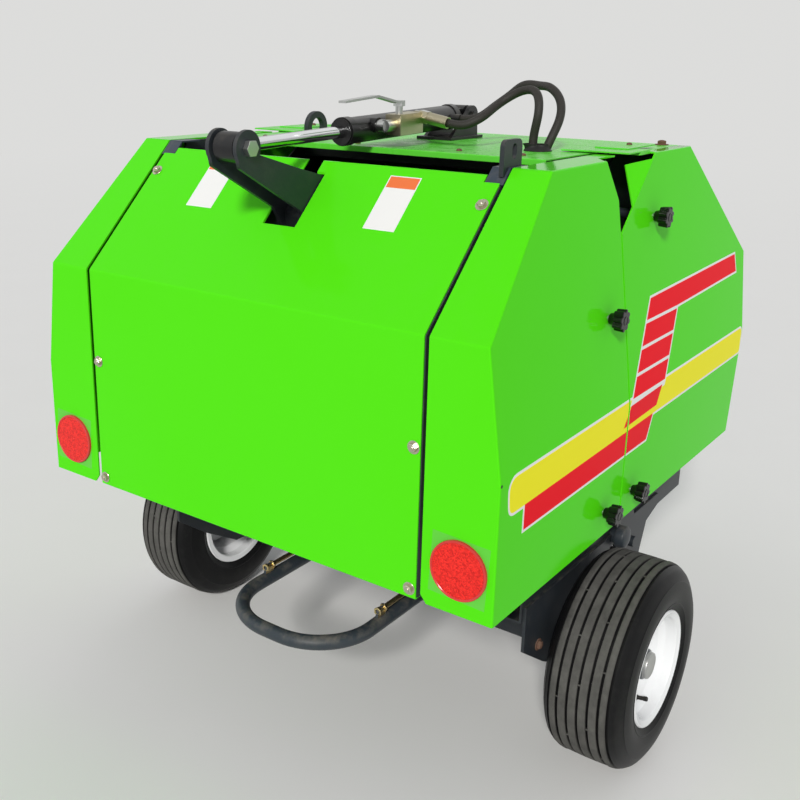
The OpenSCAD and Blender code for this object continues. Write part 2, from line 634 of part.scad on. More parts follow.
module gearbox_guard() color("black") translate([gear_x1 + 12, 0, pto_z]) rotate([0, 90, 0])
    rotate_extrude() polygon([[48, 0], [62, 0], [78, 92], [74, 92], [59, 4], [48, 4]]);

// Sprockets and chains on the right, between the side plate and the cover
chain_y0 = plate_out + 26;
chain_w = 9;
driven_roller = frame_roller_angles[2];
// Sprocket centres as [x, z, radius]
sprockets = [[hinge_x, hinge_z, 52],
    [chamber_x + roller_ring_r * cos(driven_roller), chamber_h + roller_ring_r * sin(driven_roller), 52],
    [gear_mid_x, pto_z, 40]];
module drive_chains() color("dimgray") right_side() {
    for (s = sprockets) {
        bar_y(s[0], s[1], s[2], chain_y0 + 2, chain_y0 + chain_w - 2);
        bar_y(s[0], s[1], 16, s[0] == hinge_x ? plate_out + 18 : plate_out, chain_y0 + chain_w + 4);
    }
    for (k = [0, 1]) chain_loop(sprockets[k], sprockets[k + 1]);
}
module chain_loop(a, b) translate([0, chain_y0 + chain_w, 0]) rotate([90, 0, 0]) linear_extrude(chain_w)
    difference() {
        hull() { translate([a[0], a[1]]) circle(r = a[2] + 7); translate([b[0], b[1]]) circle(r = b[2] + 7); }
        hull() { translate([a[0], a[1]]) circle(r = a[2] - 4); translate([b[0], b[1]]) circle(r = b[2] - 4); }
    }

// Pick-up: side plates with bearings, tined reel, and the bands that the tines pass between
pickup_in = rail_out;
pickup_t = 6;
bearing_t = 14;
module pickup_sides() color("slategray") both_sides() difference() {
    union() {
        side_plate([[reel_x + 150, rail_bottom + 8], [reel_x + 88, rail_bottom - 10], [reel_x + 62, reel_h - 5],
            [reel_x + 45, reel_h - 65], [reel_x + 10, reel_h - 130], [reel_x - 50, reel_h - 105],
            [reel_x - 70, reel_h - 20], [reel_x - 90, rail_top + 30], [reel_x - 20, rail_top + 30],
            [reel_x + 10, rail_top - 21], [reel_x + 150, rail_top - 21]], pickup_in, pickup_in + pickup_t);
        bar_y(reel_x, reel_h, 34, pickup_in - bearing_t, pickup_in);
        bar_y(reel_x - 5, reel_h + 43, 12, pickup_in + pickup_t, pickup_in + pickup_t + 12);
    }
    bar_y(reel_x, reel_h, reel_shaft_r + run_fit, pickup_in - bearing_t - 1, pickup_in + 2);
}
reel_hw = plate_in - 6;
reel_shaft_r = 14;
tine_pitch = 2 * (reel_hw - 18) / (tines - 1);
module tine(y) translate([0, y, 0]) {
    translate([tine_bar_r, 0, 0]) rotate([0, 90, 0]) cylinder(r = tine_d / 2, h = 56, $fn = 6);
    translate([tine_bar_r + 54, 0, 0]) rotate([0, 98, 0])
        cylinder(r = tine_d / 2, h = tine_tip_r - tine_bar_r - 55, $fn = 6);
}
module pickup_reel() color("dimgray") translate([reel_x, 0, reel_h]) {
    rotate([90, 0, 0]) cylinder(r = 22, h = 2 * reel_hw, center = true);
    both_sides() rotate([-90, 0, 0]) {
        translate([0, 0, reel_hw - 5]) cylinder(r = tine_bar_r + 14, h = 5);
        translate([0, 0, reel_hw - 1]) cylinder(r = reel_shaft_r, h = pickup_in - reel_hw);
    }
    for (i = [0:tine_bars - 1]) rotate([0, i * 360 / tine_bars, 0]) {
        translate([tine_bar_r, 0, 0]) rotate([90, 0, 0])
            cylinder(r = 9, h = 2 * reel_hw - 2, center = true, $fn = 24);
        for (k = [0:tines - 1]) tine(-reel_hw + 18 + k * tine_pitch);
    }
}
band_w = 42;
band_t = 3;
band_back_x = 590;
// Each band runs from its lower bar round the front and back over the reel to its upper bar
module pickup_bands() color("slategray") {
    for (k = [0:tines]) {
        y = [for (side = [0.5, -0.5]) -reel_hw + 18 + (k - 0.5) * tine_pitch + side * band_w];
        y_left = k == tines ? plate_in - 0.5 : y[0];
        y_right = k == 0 ? 0.5 - plate_in : y[1];
        translate([reel_x, y_left, reel_h]) rotate([90, 0, 0]) linear_extrude(y_left - y_right) {
            difference() {
                circle(r = band_r);
                circle(r = band_r - band_t);
                translate([-2 * band_r, -2 * band_r]) square([2 * band_r, 4 * band_r]);
            }
            for (z = [band_r - band_t, -band_r])
                translate([band_back_x - reel_x, z]) square([reel_x - band_back_x, band_t]);
        }
    }
    box([band_back_x - 6, -plate_in, reel_h + band_r - 1], [band_back_x + 12, plate_in, reel_h + band_r + 18]);
    box([band_back_x - 6, -plate_in, reel_h - band_r - 16], [band_back_x + 12, plate_in, reel_h - band_r + 1]);
    // hangers of the lower bar
    both_sides() side_plate([[band_back_x - 6, reel_h - band_r - 16], [band_back_x + 12, reel_h - band_r - 16],
        [band_back_x + 40, rail_bottom + 20], [band_back_x - 30, rail_bottom + 20]], plate_in - 5, plate_in);
}

module lifting_ring() color("slategray") translate([590, 305, top_h]) rotate([90, 0, 0]) linear_extrude(12)
    difference() {
        union() { translate([0, 12]) circle(r = 34); translate([-34, 0]) square([68, 12]); }
        translate([0, 12]) circle(r = 20);
        translate([-20, -1]) square([40, 13]);
        translate([-40, -40]) square([80, 40]);
    }

module reflectors() color("red") both_sides()
    translate([0, 452, 565]) rotate([0, -90, 0]) cylinder(r = 50, h = 6);

// Wheels: tyre and dished rim, for the left side
rim_r = tyre_r - tyre_wall;
bead_gap = 0.2;
module wheel_profile() translate([axle_x, track_w / 2, tyre_r]) rotate([-90, 0, 0]) children();
module tyre() color("black") wheel_profile() rotate_extrude($fn = 96) {
    h = tyre_w / 2;
    difference() {
        side = [[rim_r - 9, h - 13.4], [rim_r + 3, h - 10.2], [rim_r + 8, h - 6], [rim_r + 30, h - 1],
            [tyre_r - 45, h], [tyre_r - 22, h - 6], [tyre_r - 6, h - 20], [tyre_r, h - 46]];
        polygon(concat([for (p = side) [p[0], -p[1]]], backwards(side)));
        for (i = [-2:2]) translate([tyre_r - 7, i * 20 - 1.5]) square([10, 3]);
        polygon([[rim_r - 20, -h + 24], [rim_r + 12, -h + 22], [tyre_r - 40, -h + 12], [tyre_r - 20, -h + 24],
            [tyre_r - 16, 0], [tyre_r - 20, h - 24], [tyre_r - 40, h - 12], [rim_r + 12, h - 22], [rim_r - 20, h - 24]]);
    }
}
hub_r = 30;
hub_back = 60;
hub_bore = stub_r + run_fit;
module rim() color("white") wheel_profile() rotate_extrude($fn = 96) {
    h = tyre_w / 2 - 6;
    seat = rim_r - 9 - bead_gap;
    polygon([[seat - 4, -h], [rim_r + 2, -h], [rim_r + 2, -h + 4], [seat, -h + 7], [seat, -h + 26], [seat - 12, -h + 36],
        [seat - 12, h - 36], [seat, h - 26], [seat, h - 7], [rim_r + 2, h - 4], [rim_r + 2, h], [seat - 4, h],
        [seat - 4, h - 28], [seat - 17, h - 38], [seat - 24, 2], [hub_r + 10, -4], [hub_r, 20], [hub_r - 2, 48],
        [0, 48], [0, 42], [hub_bore, 42], [hub_bore, -hub_back], [hub_r, -hub_back], [hub_r, -16], [seat - 24, -6],
        [seat - 16, -h + 38], [seat - 4, -h + 28]]);
}

// Hoses: routes from the cylinder to the hole in the top sheet, swept by a ring of points
hose_a_route = [[466, -117.6, 1195], [468, -150.5, 1189.5], [489, -178.5, 1207], [520.5, -178.5, 1221],
    [548.5, -187, 1236.5], [560.5, -214.5, 1255], [551, -248.5, 1260], [529.5, -271.5, 1244],
    [517, -277.5, 1210.5], [525.5, -264.5, 1177], [522, -268, 1141]];
hose_b_route = [[632, -46.6, 1193], [632, -87, 1193], [639, -117.5, 1221], [642, -152.5, 1243],
    [632.5, -184, 1268.5], [626.5, -224.5, 1261.5], [598.5, -255.5, 1264.5], [584, -288.5, 1244],
    [563.5, -301.5, 1210.5], [536, -299, 1179], [526, -287, 1141]];
ring_sides = 8;
ring_steps = 4;
// Smooth curve drawn towards the points p, from the first to the last
function spline(p, i, t) = let (
        n = len(p) - 1,
        b = p[i], c = p[i + 1],
        a = i == 0 ? 2 * b - c : p[i - 1],
        d = i + 2 > n ? 2 * c - b : p[i + 2])
    (pow(1 - t, 3) * a + (3 * t * t * t - 6 * t * t + 4) * b + (3 * t * (1 + t - t * t) + 1) * c + t * t * t * d) / 6;
function route_points(p, steps) = concat([for (i = [0:len(p) - 2]) for (s = [0:steps - 1]) spline(p, i, s / steps)],
    [p[len(p) - 1]]);
function ring_at(c, i, r) = let (
        n = len(c) - 1,
        d = c[min(i + 1, n)] - c[max(i - 1, 0)],
        t = d / norm(d),
        side = cross(t, [0.3, 0.2, 1]),
        u = side / norm(side),
        v = cross(t, u))
    [for (k = [0:ring_sides - 1]) c[i] + r * (cos(k * 360 / ring_sides) * u + sin(k * 360 / ring_sides) * v)];
module swept_tube(route, r) {
    c = route_points(route, ring_steps);
    n = len(c);
    polyhedron(points = [for (i = [0:n - 1]) each ring_at(c, i, r)],
        faces = concat(
            [[for (k = [0:ring_sides - 1]) k]],
            [for (i = [0:n - 2]) for (k = [0:ring_sides - 1]) let (
                    m = (k + 1) % ring_sides,
                    a = i * ring_sides,
                    b = a + ring_sides)
                each [[a + k, b + k, b + m], [a + k, b + m, a + m]]],
            [[for (k = [ring_sides - 1:-1:0]) (n - 1) * ring_sides + k]]));
}

module place() translate([-mid_x, 0, 0]) children();
place() chamber_side();  // chamber_side_left
place() right_side() chamber_side();  // chamber_side_right
place() front_cover();  // front_cover_left
place() right_side() front_cover();  // front_cover_right
place() top_cover();
place() nose_sheet();
place() front_sheet();
place() rollers(frame_roller_angles);  // frame_rollers
place() knobs(front_knobs);  // frame_knobs
place() rail();  // rail_left
place() right_side() rail();  // rail_right
place() axle_beam();
place() front_crossbeam();
place() top_crossbeam();
place() drawbar();
place() jack_tube();
place() jack_leg();
place() gearbox();
place() gearbox_guard();
place() pto_shaft();
place() drive_chains();
place() pickup_sides();
place() pickup_reel();
place() pickup_bands();
place() ramp_bar();
place() cylinder_mount();
place() lifting_ring();
place() gate_skin();
place() gate_side(false);  // gate_side_left
place() right_side() gate_side(true);  // gate_side_right
place() rear_cover();  // rear_cover_left
place() right_side() rear_cover();  // rear_cover_right
place() rollers(gate_roller_angles);  // gate_rollers
place() gate_arm();
place() rod_pin();
place() reflectors();
place() knobs(gate_knobs_at);  // gate_knobs
place() cylinder_barrel();
place() cylinder_rod();
place() valve_block();
place() tyre();  // tyre_left
place() rim();  // rim_left
place() right_side() tyre();  // tyre_right
place() right_side() rim();  // rim_right
color("black") place() swept_tube(hose_a_route, hose_r);  // hose_a
color("black") place() swept_tube(hose_b_route, hose_r);  // hose_b
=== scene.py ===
import bmesh
import bpy
from math import sin, cos, acos, pi, radians, atan2, sqrt
from mathutils import Matrix, Vector


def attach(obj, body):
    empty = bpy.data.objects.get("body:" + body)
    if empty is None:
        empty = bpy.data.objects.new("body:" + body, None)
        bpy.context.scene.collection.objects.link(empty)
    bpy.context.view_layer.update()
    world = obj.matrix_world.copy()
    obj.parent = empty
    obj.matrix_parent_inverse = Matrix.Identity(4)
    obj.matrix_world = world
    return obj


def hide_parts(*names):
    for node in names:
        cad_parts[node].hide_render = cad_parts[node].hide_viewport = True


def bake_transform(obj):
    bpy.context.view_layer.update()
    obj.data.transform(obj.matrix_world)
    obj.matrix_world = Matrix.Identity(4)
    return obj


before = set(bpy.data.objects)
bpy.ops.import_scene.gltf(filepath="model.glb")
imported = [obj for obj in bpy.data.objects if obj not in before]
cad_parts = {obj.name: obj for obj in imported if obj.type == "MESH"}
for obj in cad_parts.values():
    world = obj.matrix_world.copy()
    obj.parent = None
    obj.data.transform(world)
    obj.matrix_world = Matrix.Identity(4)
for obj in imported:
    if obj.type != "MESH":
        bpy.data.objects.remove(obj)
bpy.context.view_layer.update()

# Camera
# It stands behind the machine on its right, a little above the top sheets, where the photograph was taken.
# Places are in mm, forward from the gate's rear face, to the left, and up from the ground.
MIDDLE = 740.5
# The photograph's side, the focal length and the place where the lens's axis meets the picture, in pixels
PICTURE, FOCAL, AXIS_ACROSS, AXIS_DOWN = 800, 1034.7, 340, 370
SENSOR = 36
LENS_PLACE = (-1246.7, -1161.5, 1320.9)


def spot(x, y, z):
    """A place in mm as a vector in metres in the frame of the pack, whose origin is midway along the baler."""
    return Vector(((x - MIDDLE) / 1000, y / 1000, z / 1000))


turn, tip, roll = -0.9242, 0.2982, 0.0105
back = Vector((sin(turn) * cos(tip), -cos(turn) * cos(tip), sin(tip)))
side = (-back).cross(Vector((0, 0, 1))).normalized()
rise = back.cross(side).normalized()
camera = bpy.data.objects.new("camera", bpy.data.cameras.new("camera"))
bpy.context.scene.collection.objects.link(camera)
grid = Matrix((side, rise, back)).transposed().to_4x4()
camera.matrix_world = Matrix.Translation(spot(*LENS_PLACE)) @ grid @ Matrix.Rotation(roll, 4, "Z")
camera.data.sensor_width = SENSOR
camera.data.lens = FOCAL / PICTURE * SENSOR
camera.data.shift_x = (PICTURE / 2 - AXIS_ACROSS) / PICTURE
camera.data.shift_y = (AXIS_DOWN - PICTURE / 2) / PICTURE
camera.data.clip_end = 200
bpy.context.scene.camera = camera

# Hydraulic hoses
# Two 16 mm hoses of wrapped black rubber run from the lift cylinder's valve and rear port to a hole in the
# top sheet. Each is pushed into a crimped ferrule; the cylinder's end of it swings with the cylinder.
HOSE = 0.016
hose_a_route = [(466, -117.6, 1195), (468, -150.5, 1189.5), (489, -178.5, 1207), (520.5, -178.5, 1221),
                (548.5, -187, 1236.5), (560.5, -214.5, 1255), (551, -248.5, 1260), (529.5, -271.5, 1244),
                (517, -277.5, 1210.5), (525.5, -264.5, 1177), (522, -268, 1141)]
hose_b_route = [(632, -46.6, 1193), (632, -87, 1193), (639, -117.5, 1221), (642, -152.5, 1243),
                (632.5, -184, 1268.5), (626.5, -224.5, 1261.5), (598.5, -255.5, 1264.5), (584, -288.5, 1244),
                (563.5, -301.5, 1210.5), (536, -299, 1179), (526, -287, 1141)]


def smooth_route(points, steps):
    """A B-spline along the points, from the first to the last, as places in metres."""
    p = [spot(*q) for q in points]
    p = [2 * p[0] - p[1]] + p + [2 * p[-1] - p[-2]]
    line = []
    for i in range(len(p) - 3):
        a, b, c, d = p[i:i + 4]
        for t in [s / steps for s in range(steps)]:
            line.append(((1 - t) ** 3 * a + (3 * t ** 3 - 6 * t * t + 4) * b
                         + (3 * t * (1 + t - t * t) + 1) * c + t ** 3 * d) / 6)
    return line + [p[-2]]


def tube_along(name, line, radius, sides=20):
    """Mesh tube round a line, with a UV map in metres: round it, and along it."""
    verts, faces, uvs = [], [], []
    n, run = len(line), 0.0
    tangents = [(line[min(i + 1, n - 1)] - line[max(i - 1, 0)]).normalized() for i in range(n)]
    u = tangents[0].orthogonal().normalized()
    along = []
    for i in range(n):
        u = (u - tangents[i] * u.dot(tangents[i])).normalized()
        v = tangents[i].cross(u)
        run += (line[i] - line[i - 1]).length if i else 0
        along.append(run)
        verts += [line[i] + radius * (cos(2 * pi * k / sides) * u + sin(2 * pi * k / sides) * v)
                  for k in range(sides)]
    for i in range(n - 1):
        for k in range(sides):
            m = (k + 1) % sides
            faces.append((i * sides + k, i * sides + m, (i + 1) * sides + m, (i + 1) * sides + k))
            w = 2 * pi * radius / sides
            uvs += [(k * w, along[i]), ((k + 1) * w, along[i]), ((k + 1) * w, along[i + 1]), (k * w, along[i + 1])]
    faces.append(tuple(range(sides - 1, -1, -1)))
    faces.append(tuple((n - 1) * sides + k for k in range(sides)))
    uvs += [(0, 0)] * (2 * sides)
    mesh = bpy.data.meshes.new(name)
    mesh.from_pydata(verts, [], faces)
    layer = mesh.uv_layers.new(name="UVMap")
    for loop, uv in zip(layer.data, uvs):
        loop.uv = uv
    mesh.shade_smooth()
    obj = bpy.data.objects.new(name, mesh)
    bpy.context.scene.collection.objects.link(obj)
    return obj


def new_finish(name, colour, rough, metallic=0.0):
    """A new material, with its Principled shader and its Object coordinates."""
    material = bpy.data.materials.new(name)
    material.use_nodes = True
    tree = material.node_tree
    shader = tree.nodes["Principled BSDF"]
    shader.inputs["Base Color"].default_value = (*colour, 1)
    shader.inputs["Roughness"].default_value = rough
    shader.inputs["Metallic"].default_value = metallic
    coords = tree.nodes.new("ShaderNodeTexCoord")
    return material, tree, shader, coords.outputs["Object"]


def feed(tree, socket, value):
    """Sets the socket to value, or links it where value is another node's output."""
    if isinstance(value, bpy.types.NodeSocket):
        tree.links.new(value, socket)
    else:
        socket.default_value = value


def wired(tree, kind, **values):
    """A new node with the named sockets fed."""
    node = tree.nodes.new(kind)
    for name, value in values.items():
        feed(tree, node.inputs[name.replace("_", " ")], value)
    return node


def maths(tree, operation, a, b=0.0):
    """The result of a new maths node."""
    node = tree.nodes.new("ShaderNodeMath")
    node.operation = operation
    feed(tree, node.inputs[0], a)
    feed(tree, node.inputs[1], b)
    return node.outputs[0]


rubber, tree, shader, _ = new_finish("hose_cover", (0.024, 0.021, 0.018), 0.5)
shader.inputs["Specular IOR Level"].default_value = 0.35
uv = tree.nodes.new("ShaderNodeUVMap")
uv.uv_map = "UVMap"
cords = []
for lean in (35, -35):  # the two ways that the wrap's cords cross
    mapping = wired(tree, "ShaderNodeMapping", Vector=uv.outputs["UV"], Rotation=(0, 0, radians(lean)))
    wave = wired(tree, "ShaderNodeTexWave", Vector=mapping.outputs["Vector"], Scale=130.0, Distortion=0.6)
    cords.append(wave.outputs["Fac"])
wrap = maths(tree, "MAXIMUM", *cords)
bump = wired(tree, "ShaderNodeBump", Strength=0.35, Distance=0.0006, Height=wrap)
tree.links.new(bump.outputs["Normal"], shader.inputs["Normal"])
tone = wired(tree, "ShaderNodeMapRange", Value=wrap, To_Min=0.42, To_Max=0.68)
tree.links.new(tone.outputs["Result"], shader.inputs["Roughness"])

rubber_plain, _, shader, _ = new_finish("boot_rubber", (0.012, 0.012, 0.012), 0.6)
shader.inputs["Specular IOR Level"].default_value = 0.3
for name, route in (("hose_a", hose_a_route), ("hose_b", hose_b_route)):
    line = smooth_route(route, 8)
    hose = tube_along(name + "_rubber", line, HOSE / 2)
    hose.data.materials.append(rubber)
    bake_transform(hose)
    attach(hose, "root")
    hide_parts(name)

# Green sheet covers
# The side covers, gate skin, top and nose sheets are folded from 3 mm steel sheet and powder coated in
# apple green. Their folds are rounded, and cut edges are only deburred.


def socket_list(group, inputs, outputs):
    """Gives a node group its named inputs, with their values, and its outputs."""
    for name, kind, value in inputs:
        made = group.interface.new_socket(name=name, in_out="INPUT", socket_type="NodeSocket" + kind)
        if value is not None:
            made.default_value = value
    for name, kind in outputs:
        group.interface.new_socket(name=name, in_out="OUTPUT", socket_type="NodeSocket" + kind)


def blended(tree, factor, a, b):
    """Colour a, turning into colour b by the factor."""
    node = tree.nodes.new("ShaderNodeMix")
    node.data_type = "RGBA"
    for index, value in ((0, factor), (6, a), (7, b)):
        feed(tree, node.inputs[index], value)
    return node.outputs[2]


# Sprayed coat: fine orange peel, slow waves of the sheet, faint fading, and dust that lies on what faces up
coat = bpy.data.node_groups.new("sprayed_coat", "ShaderNodeTree")
socket_list(coat, [("Place", "Vector", None), ("Colour", "Color", (0.1, 0.1, 0.1, 1)), ("Fade", "Float", 0.1),
                   ("Dust", "Float", 0.2), ("Dust Colour", "Color", (0.35, 0.3, 0.23, 1)),
                   ("Gloss", "Float", 0.25), ("Peel", "Float", 1.0)],
            [("Colour", "Color"), ("Roughness", "Float"), ("Height", "Float")])
start, finish = coat.nodes.new("NodeGroupInput"), coat.nodes.new("NodeGroupOutput")
broad = wired(coat, "ShaderNodeTexNoise", Vector=start.outputs["Place"], Scale=2.2, Detail=3.0)
cloud = wired(coat, "ShaderNodeTexNoise", Vector=start.outputs["Place"], Scale=38.0, Detail=6.0, Roughness=0.65)
peel = wired(coat, "ShaderNodeTexNoise", Vector=start.outputs["Place"], Scale=420.0, Detail=2.0)
fading = maths(coat, "MULTIPLY", start.outputs["Fade"], broad.outputs["Fac"])
faded = wired(coat, "ShaderNodeHueSaturation", Saturation=maths(coat, "SUBTRACT", 1.0, fading),
              Value=maths(coat, "ADD", 0.95, fading), Color=start.outputs["Colour"])
facing = coat.nodes.new("ShaderNodeNewGeometry")
upward = coat.nodes.new("ShaderNodeSeparateXYZ")
coat.links.new(facing.outputs["Normal"], upward.inputs[0])
lying = wired(coat, "ShaderNodeMapRange", Value=upward.outputs["Z"], From_Min=0.1, From_Max=1.0, To_Min=0.12,
              To_Max=1.0)
patchy = wired(coat, "ShaderNodeMapRange", Value=cloud.outputs["Fac"], From_Min=0.45, From_Max=0.75)
dusty = maths(coat, "MULTIPLY", lying.outputs[0], patchy.outputs[0])
dusty = maths(coat, "MULTIPLY", dusty, start.outputs["Dust"])
coat.links.new(blended(coat, dusty, faded.outputs[0], start.outputs["Dust Colour"]), finish.inputs["Colour"])
rough = maths(coat, "ADD", start.outputs["Gloss"], maths(coat, "MULTIPLY", dusty, 0.9))
rough = maths(coat, "ADD", rough, maths(coat, "MULTIPLY", broad.outputs["Fac"], 0.06))
coat.links.new(rough, finish.inputs["Roughness"])
height = maths(coat, "ADD", maths(coat, "MULTIPLY", peel.outputs["Fac"], start.outputs["Peel"]),
               maths(coat, "MULTIPLY", broad.outputs["Fac"], 9.0))
coat.links.new(height, finish.inputs["Height"])


def coated(name, colour, gloss, fade=0.1, dust=0.2, peel=1.0, depth=0.00005, metallic=0.0, shine=0.3,
           dust_colour=(0.35, 0.3, 0.23)):
    """A material with the sprayed coat's colour, roughness and bump."""
    material, tree, shader, coords = new_finish(name, colour, gloss, metallic)
    group = tree.nodes.new("ShaderNodeGroup")
    group.node_tree = coat
    tree.links.new(coords, group.inputs["Place"])
    for key, value in (("Colour", (*colour, 1)), ("Fade", fade), ("Dust", dust), ("Gloss", gloss), ("Peel", peel),
                       ("Dust Colour", (*dust_colour, 1))):
        group.inputs[key].default_value = value
    bump = wired(tree, "ShaderNodeBump", Strength=0.6, Distance=depth, Height=group.outputs["Height"])
    tree.links.new(group.outputs["Colour"], shader.inputs["Base Color"])
    tree.links.new(group.outputs["Roughness"], shader.inputs["Roughness"])
    tree.links.new(bump.outputs["Normal"], shader.inputs["Normal"])
    shader.inputs["Specular IOR Level"].default_value = 0.5 if metallic else shine
    return material


green_paint = coated("green_paint", (0.087, 0.77, 0.004), 0.06, fade=0.01, dust=0.015, shine=0.05)
# The top sheet and its tabs get a paler green coat whose up-facing faces turn pale green: partly dust, partly
# painted sheen of the sky on the level sheet
pale_green_dust_and_sheen = coated("pale_green_dust_and_sheen_paint", (0.1, 0.7, 0.025), 0.24, fade=0.06, dust=0.28, shine=0.16,
                     dust_colour=(0.5, 0.66, 0.42))


def only(obj):
    """Makes obj the one selected, active object."""
    bpy.ops.object.select_all(action="DESELECT")
    obj.select_set(True)
    bpy.context.view_layer.objects.active = obj


def pick_edges(obj, test):
    """Selects the edges of obj, in edit mode, that pass the test."""
    mesh = bmesh.from_edit_mesh(obj.data)
    bpy.ops.mesh.select_mode(type="EDGE")
    for e in mesh.edges:
        e.select_set(len(e.link_faces) == 2 and test(e))
    bmesh.update_edit_mesh(obj.data)


def breadth(face):
    """A long face's width."""
    return 2 * face.calc_area() / face.calc_perimeter()


BODIES = {"gate": ("rear_cover_left", "rear_cover_right", "gate_skin", "gate_side_left", "gate_side_right",
                   "gate_arm", "gate_rollers", "rod_pin", "reflectors", "gate_knobs"),
          "barrel": ("cylinder_barrel", "valve_block"), "rod": ("cylinder_rod",), "reel": ("pickup_reel",),
          "wheel_left": ("tyre_left", "rim_left"), "wheel_right": ("tyre_right", "rim_right"),
          "drive_stub": ("pto_shaft",), "jack_foot": ("jack_leg",)}


def rides_with(obj, node):
    """obj moves with the body that the node belongs to."""
    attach(obj, next((body for body, nodes in BODIES.items() if node in nodes), "root"))


def smooth(obj, finish, angle=32):
    """Gives obj its finish, with round faces shaded smooth and flat faces kept flat."""
    only(obj)
    bpy.ops.object.shade_smooth_by_angle(angle=radians(angle))
    level = obj.modifiers.new("level", "WEIGHTED_NORMAL")
    level.keep_sharp = True
    level.weight = 80
    bpy.ops.object.modifier_apply(modifier="level")
    obj.data.materials.append(finish)
    return obj


SHEET_FACE, FOLD_LENGTH = 0.008, 0.03


def dressed(node, finish, fold=0.0, edge=0.0006, segments=2):
    """A CAD node's shape with its folds rounded, its cut edges broken and its round faces smooth.

    A fold is an edge of some length between two faces that are broader than the sheet is thick."""
    obj = bpy.data.objects.new(node + "_shape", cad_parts[node].data.copy())
    bpy.context.scene.collection.objects.link(obj)
    only(obj)
    bpy.ops.object.mode_set(mode="EDIT")
    bpy.ops.mesh.select_all(action="SELECT")
    bpy.ops.mesh.remove_doubles(threshold=0.00001)
    bpy.ops.mesh.dissolve_limited(angle_limit=radians(0.5))
    if fold:
        pick_edges(obj, lambda e: radians(4) < e.calc_face_angle(0) < radians(100)
                   and min(breadth(f) for f in e.link_faces) > SHEET_FACE and e.calc_length() > FOLD_LENGTH)
        bpy.ops.mesh.bevel(offset=fold, segments=4, clamp_overlap=True)
    if edge:
        pick_edges(obj, lambda e: radians(48) < e.calc_face_angle(0) < radians(150))
        bpy.ops.mesh.bevel(offset=edge, segments=segments, clamp_overlap=True)
    bpy.ops.object.mode_set(mode="OBJECT")
    obj.data.materials.clear()
    rides_with(smooth(obj, finish), node)
    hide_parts(node)
    return obj


def recoloured(obj, finish, test):
    """Gives the faces of obj whose middle passes the test, in mm, another finish."""
    obj.data.materials.append(finish)
    for f in obj.data.polygons:
        c = f.center
        if test(c.x * 1000 + MIDDLE, c.y * 1000, c.z * 1000):
            f.material_index = len(obj.data.materials) - 1


for node in ("rear_cover_left", "rear_cover_right", "front_cover_left", "front_cover_right", "gate_skin",
             "nose_sheet"):
    dressed(node, green_paint, fold=0.003)
dressed("top_cover", pale_green_dust_and_sheen, fold=0.002)


def turned(name, points, steps=48):
    """A shape turned round Z: points are (radius, height) in mm, joined in a loop."""
    bpy.ops.object.select_all(action="DESELECT")
    bpy.ops.mesh.primitive_circle_add(vertices=len(points), radius=0.05, fill_type="NOTHING")
    obj = bpy.context.object
    obj.name = name
    for v, (r, h) in zip(obj.data.vertices, points):
        v.co = (r / 1000, 0, h / 1000)
    bpy.ops.object.mode_set(mode="EDIT")
    bpy.ops.mesh.select_all(action="SELECT")
    bpy.ops.mesh.spin(steps=steps, angle=2 * pi, center=(0, 0, 0), axis=(0, 0, 1))
    bpy.ops.mesh.select_all(action="SELECT")
    bpy.ops.mesh.remove_doubles(threshold=0.000002)
    bpy.ops.mesh.normals_make_consistent(inside=False)
    bpy.ops.object.mode_set(mode="OBJECT")
    return obj


def placed(obj, place, axis=(0, 0, 1), turned_by=0.0):
    """Stands obj, made round Z at the origin, at a place in mm with its Z along the axis."""
    only(obj)
    obj.rotation_mode = "QUATERNION"
    spin = Matrix.Rotation(turned_by, 4, "Z").to_quaternion()
    obj.rotation_quaternion = Vector(axis).to_track_quat("Z", "Y") @ spin
    obj.location = spot(*place)
    bpy.ops.object.transform_apply(location=True, rotation=True, scale=True)
    return obj


# Stripes
# Red and yellow vinyl film with white borders, stuck on the side covers and cut at the seam between them.
# It runs down over the fold at 719 mm, above which the covers lean inwards. Sizes in mm, forward and up.
FOLD, LEAN, HALF = 719, 0.145, 514.5
BORDER = 4.5
HANDS = (1, "left"), (-1, "right")


def rounded(corners):
    """Corners listed as (x, z, cut) become six points each on a curve that starts cut mm before the corner."""
    points = []
    for k, (x, z, cut) in enumerate(corners):
        ends = []
        for ox, oz, _ in (corners[k - 1], corners[(k + 1) % len(corners)]):
            share = cut / sqrt((ox - x) ** 2 + (oz - z) ** 2)
            ends.append((x + (ox - x) * share, z + (oz - z) * share))
        for t in [i / 5 for i in range(6)]:
            points.append(tuple((1 - t) ** 2 * a + 2 * t * (1 - t) * m + t * t * b
                                for a, m, b in zip(ends[0], (x, z), ends[1])))
    return points


YELLOW_BAND = rounded([(33, 662.9, 15), (27, 720.3, 26), (1128, 729.4, 9), (1128, 673.1, 9)])
RED_LOW = [(82, 621), (82, 663.4), (602, 668.2), (579, 622)]
RED_OVER = [(460, 677), (488, 713), (638, 717), (617, 681)]
RED_TOP = [(575, 853), (598, 890), (1094, 901), (1099, 863), (733, 853)]


# The column's rear and front edges: a place (forward, up) on each, and how far it leans forward for each mm up
COLUMN_EDGES = (598, 890, 0.626), (733, 852, 0.638)


def column_piece(low, high):
    """The corners of the red column's part between two heights."""
    (rear_low, rear_high), (front_low, front_high) = [[x - (top - z) * slope for z in (low, high)]
                                                      for x, top, slope in COLUMN_EDGES]
    return [(rear_low, low), (rear_high, high), (front_high, high), (front_low, low)]


COLUMN = [column_piece(*zs) for zs in ((809.5, 847), (766, 803.5), (724.5, 760))]
RED_COLUMN_BACK = column_piece(717, 851)


def on_cover(a, b, lift, hand):
    """A place on the side cover, a forward and b up; hand is 1 on the left and -1 on the right."""
    return spot(a, hand * (HALF - max(0.0, b - FOLD) * LEAN + lift), b)


SPARE = 40


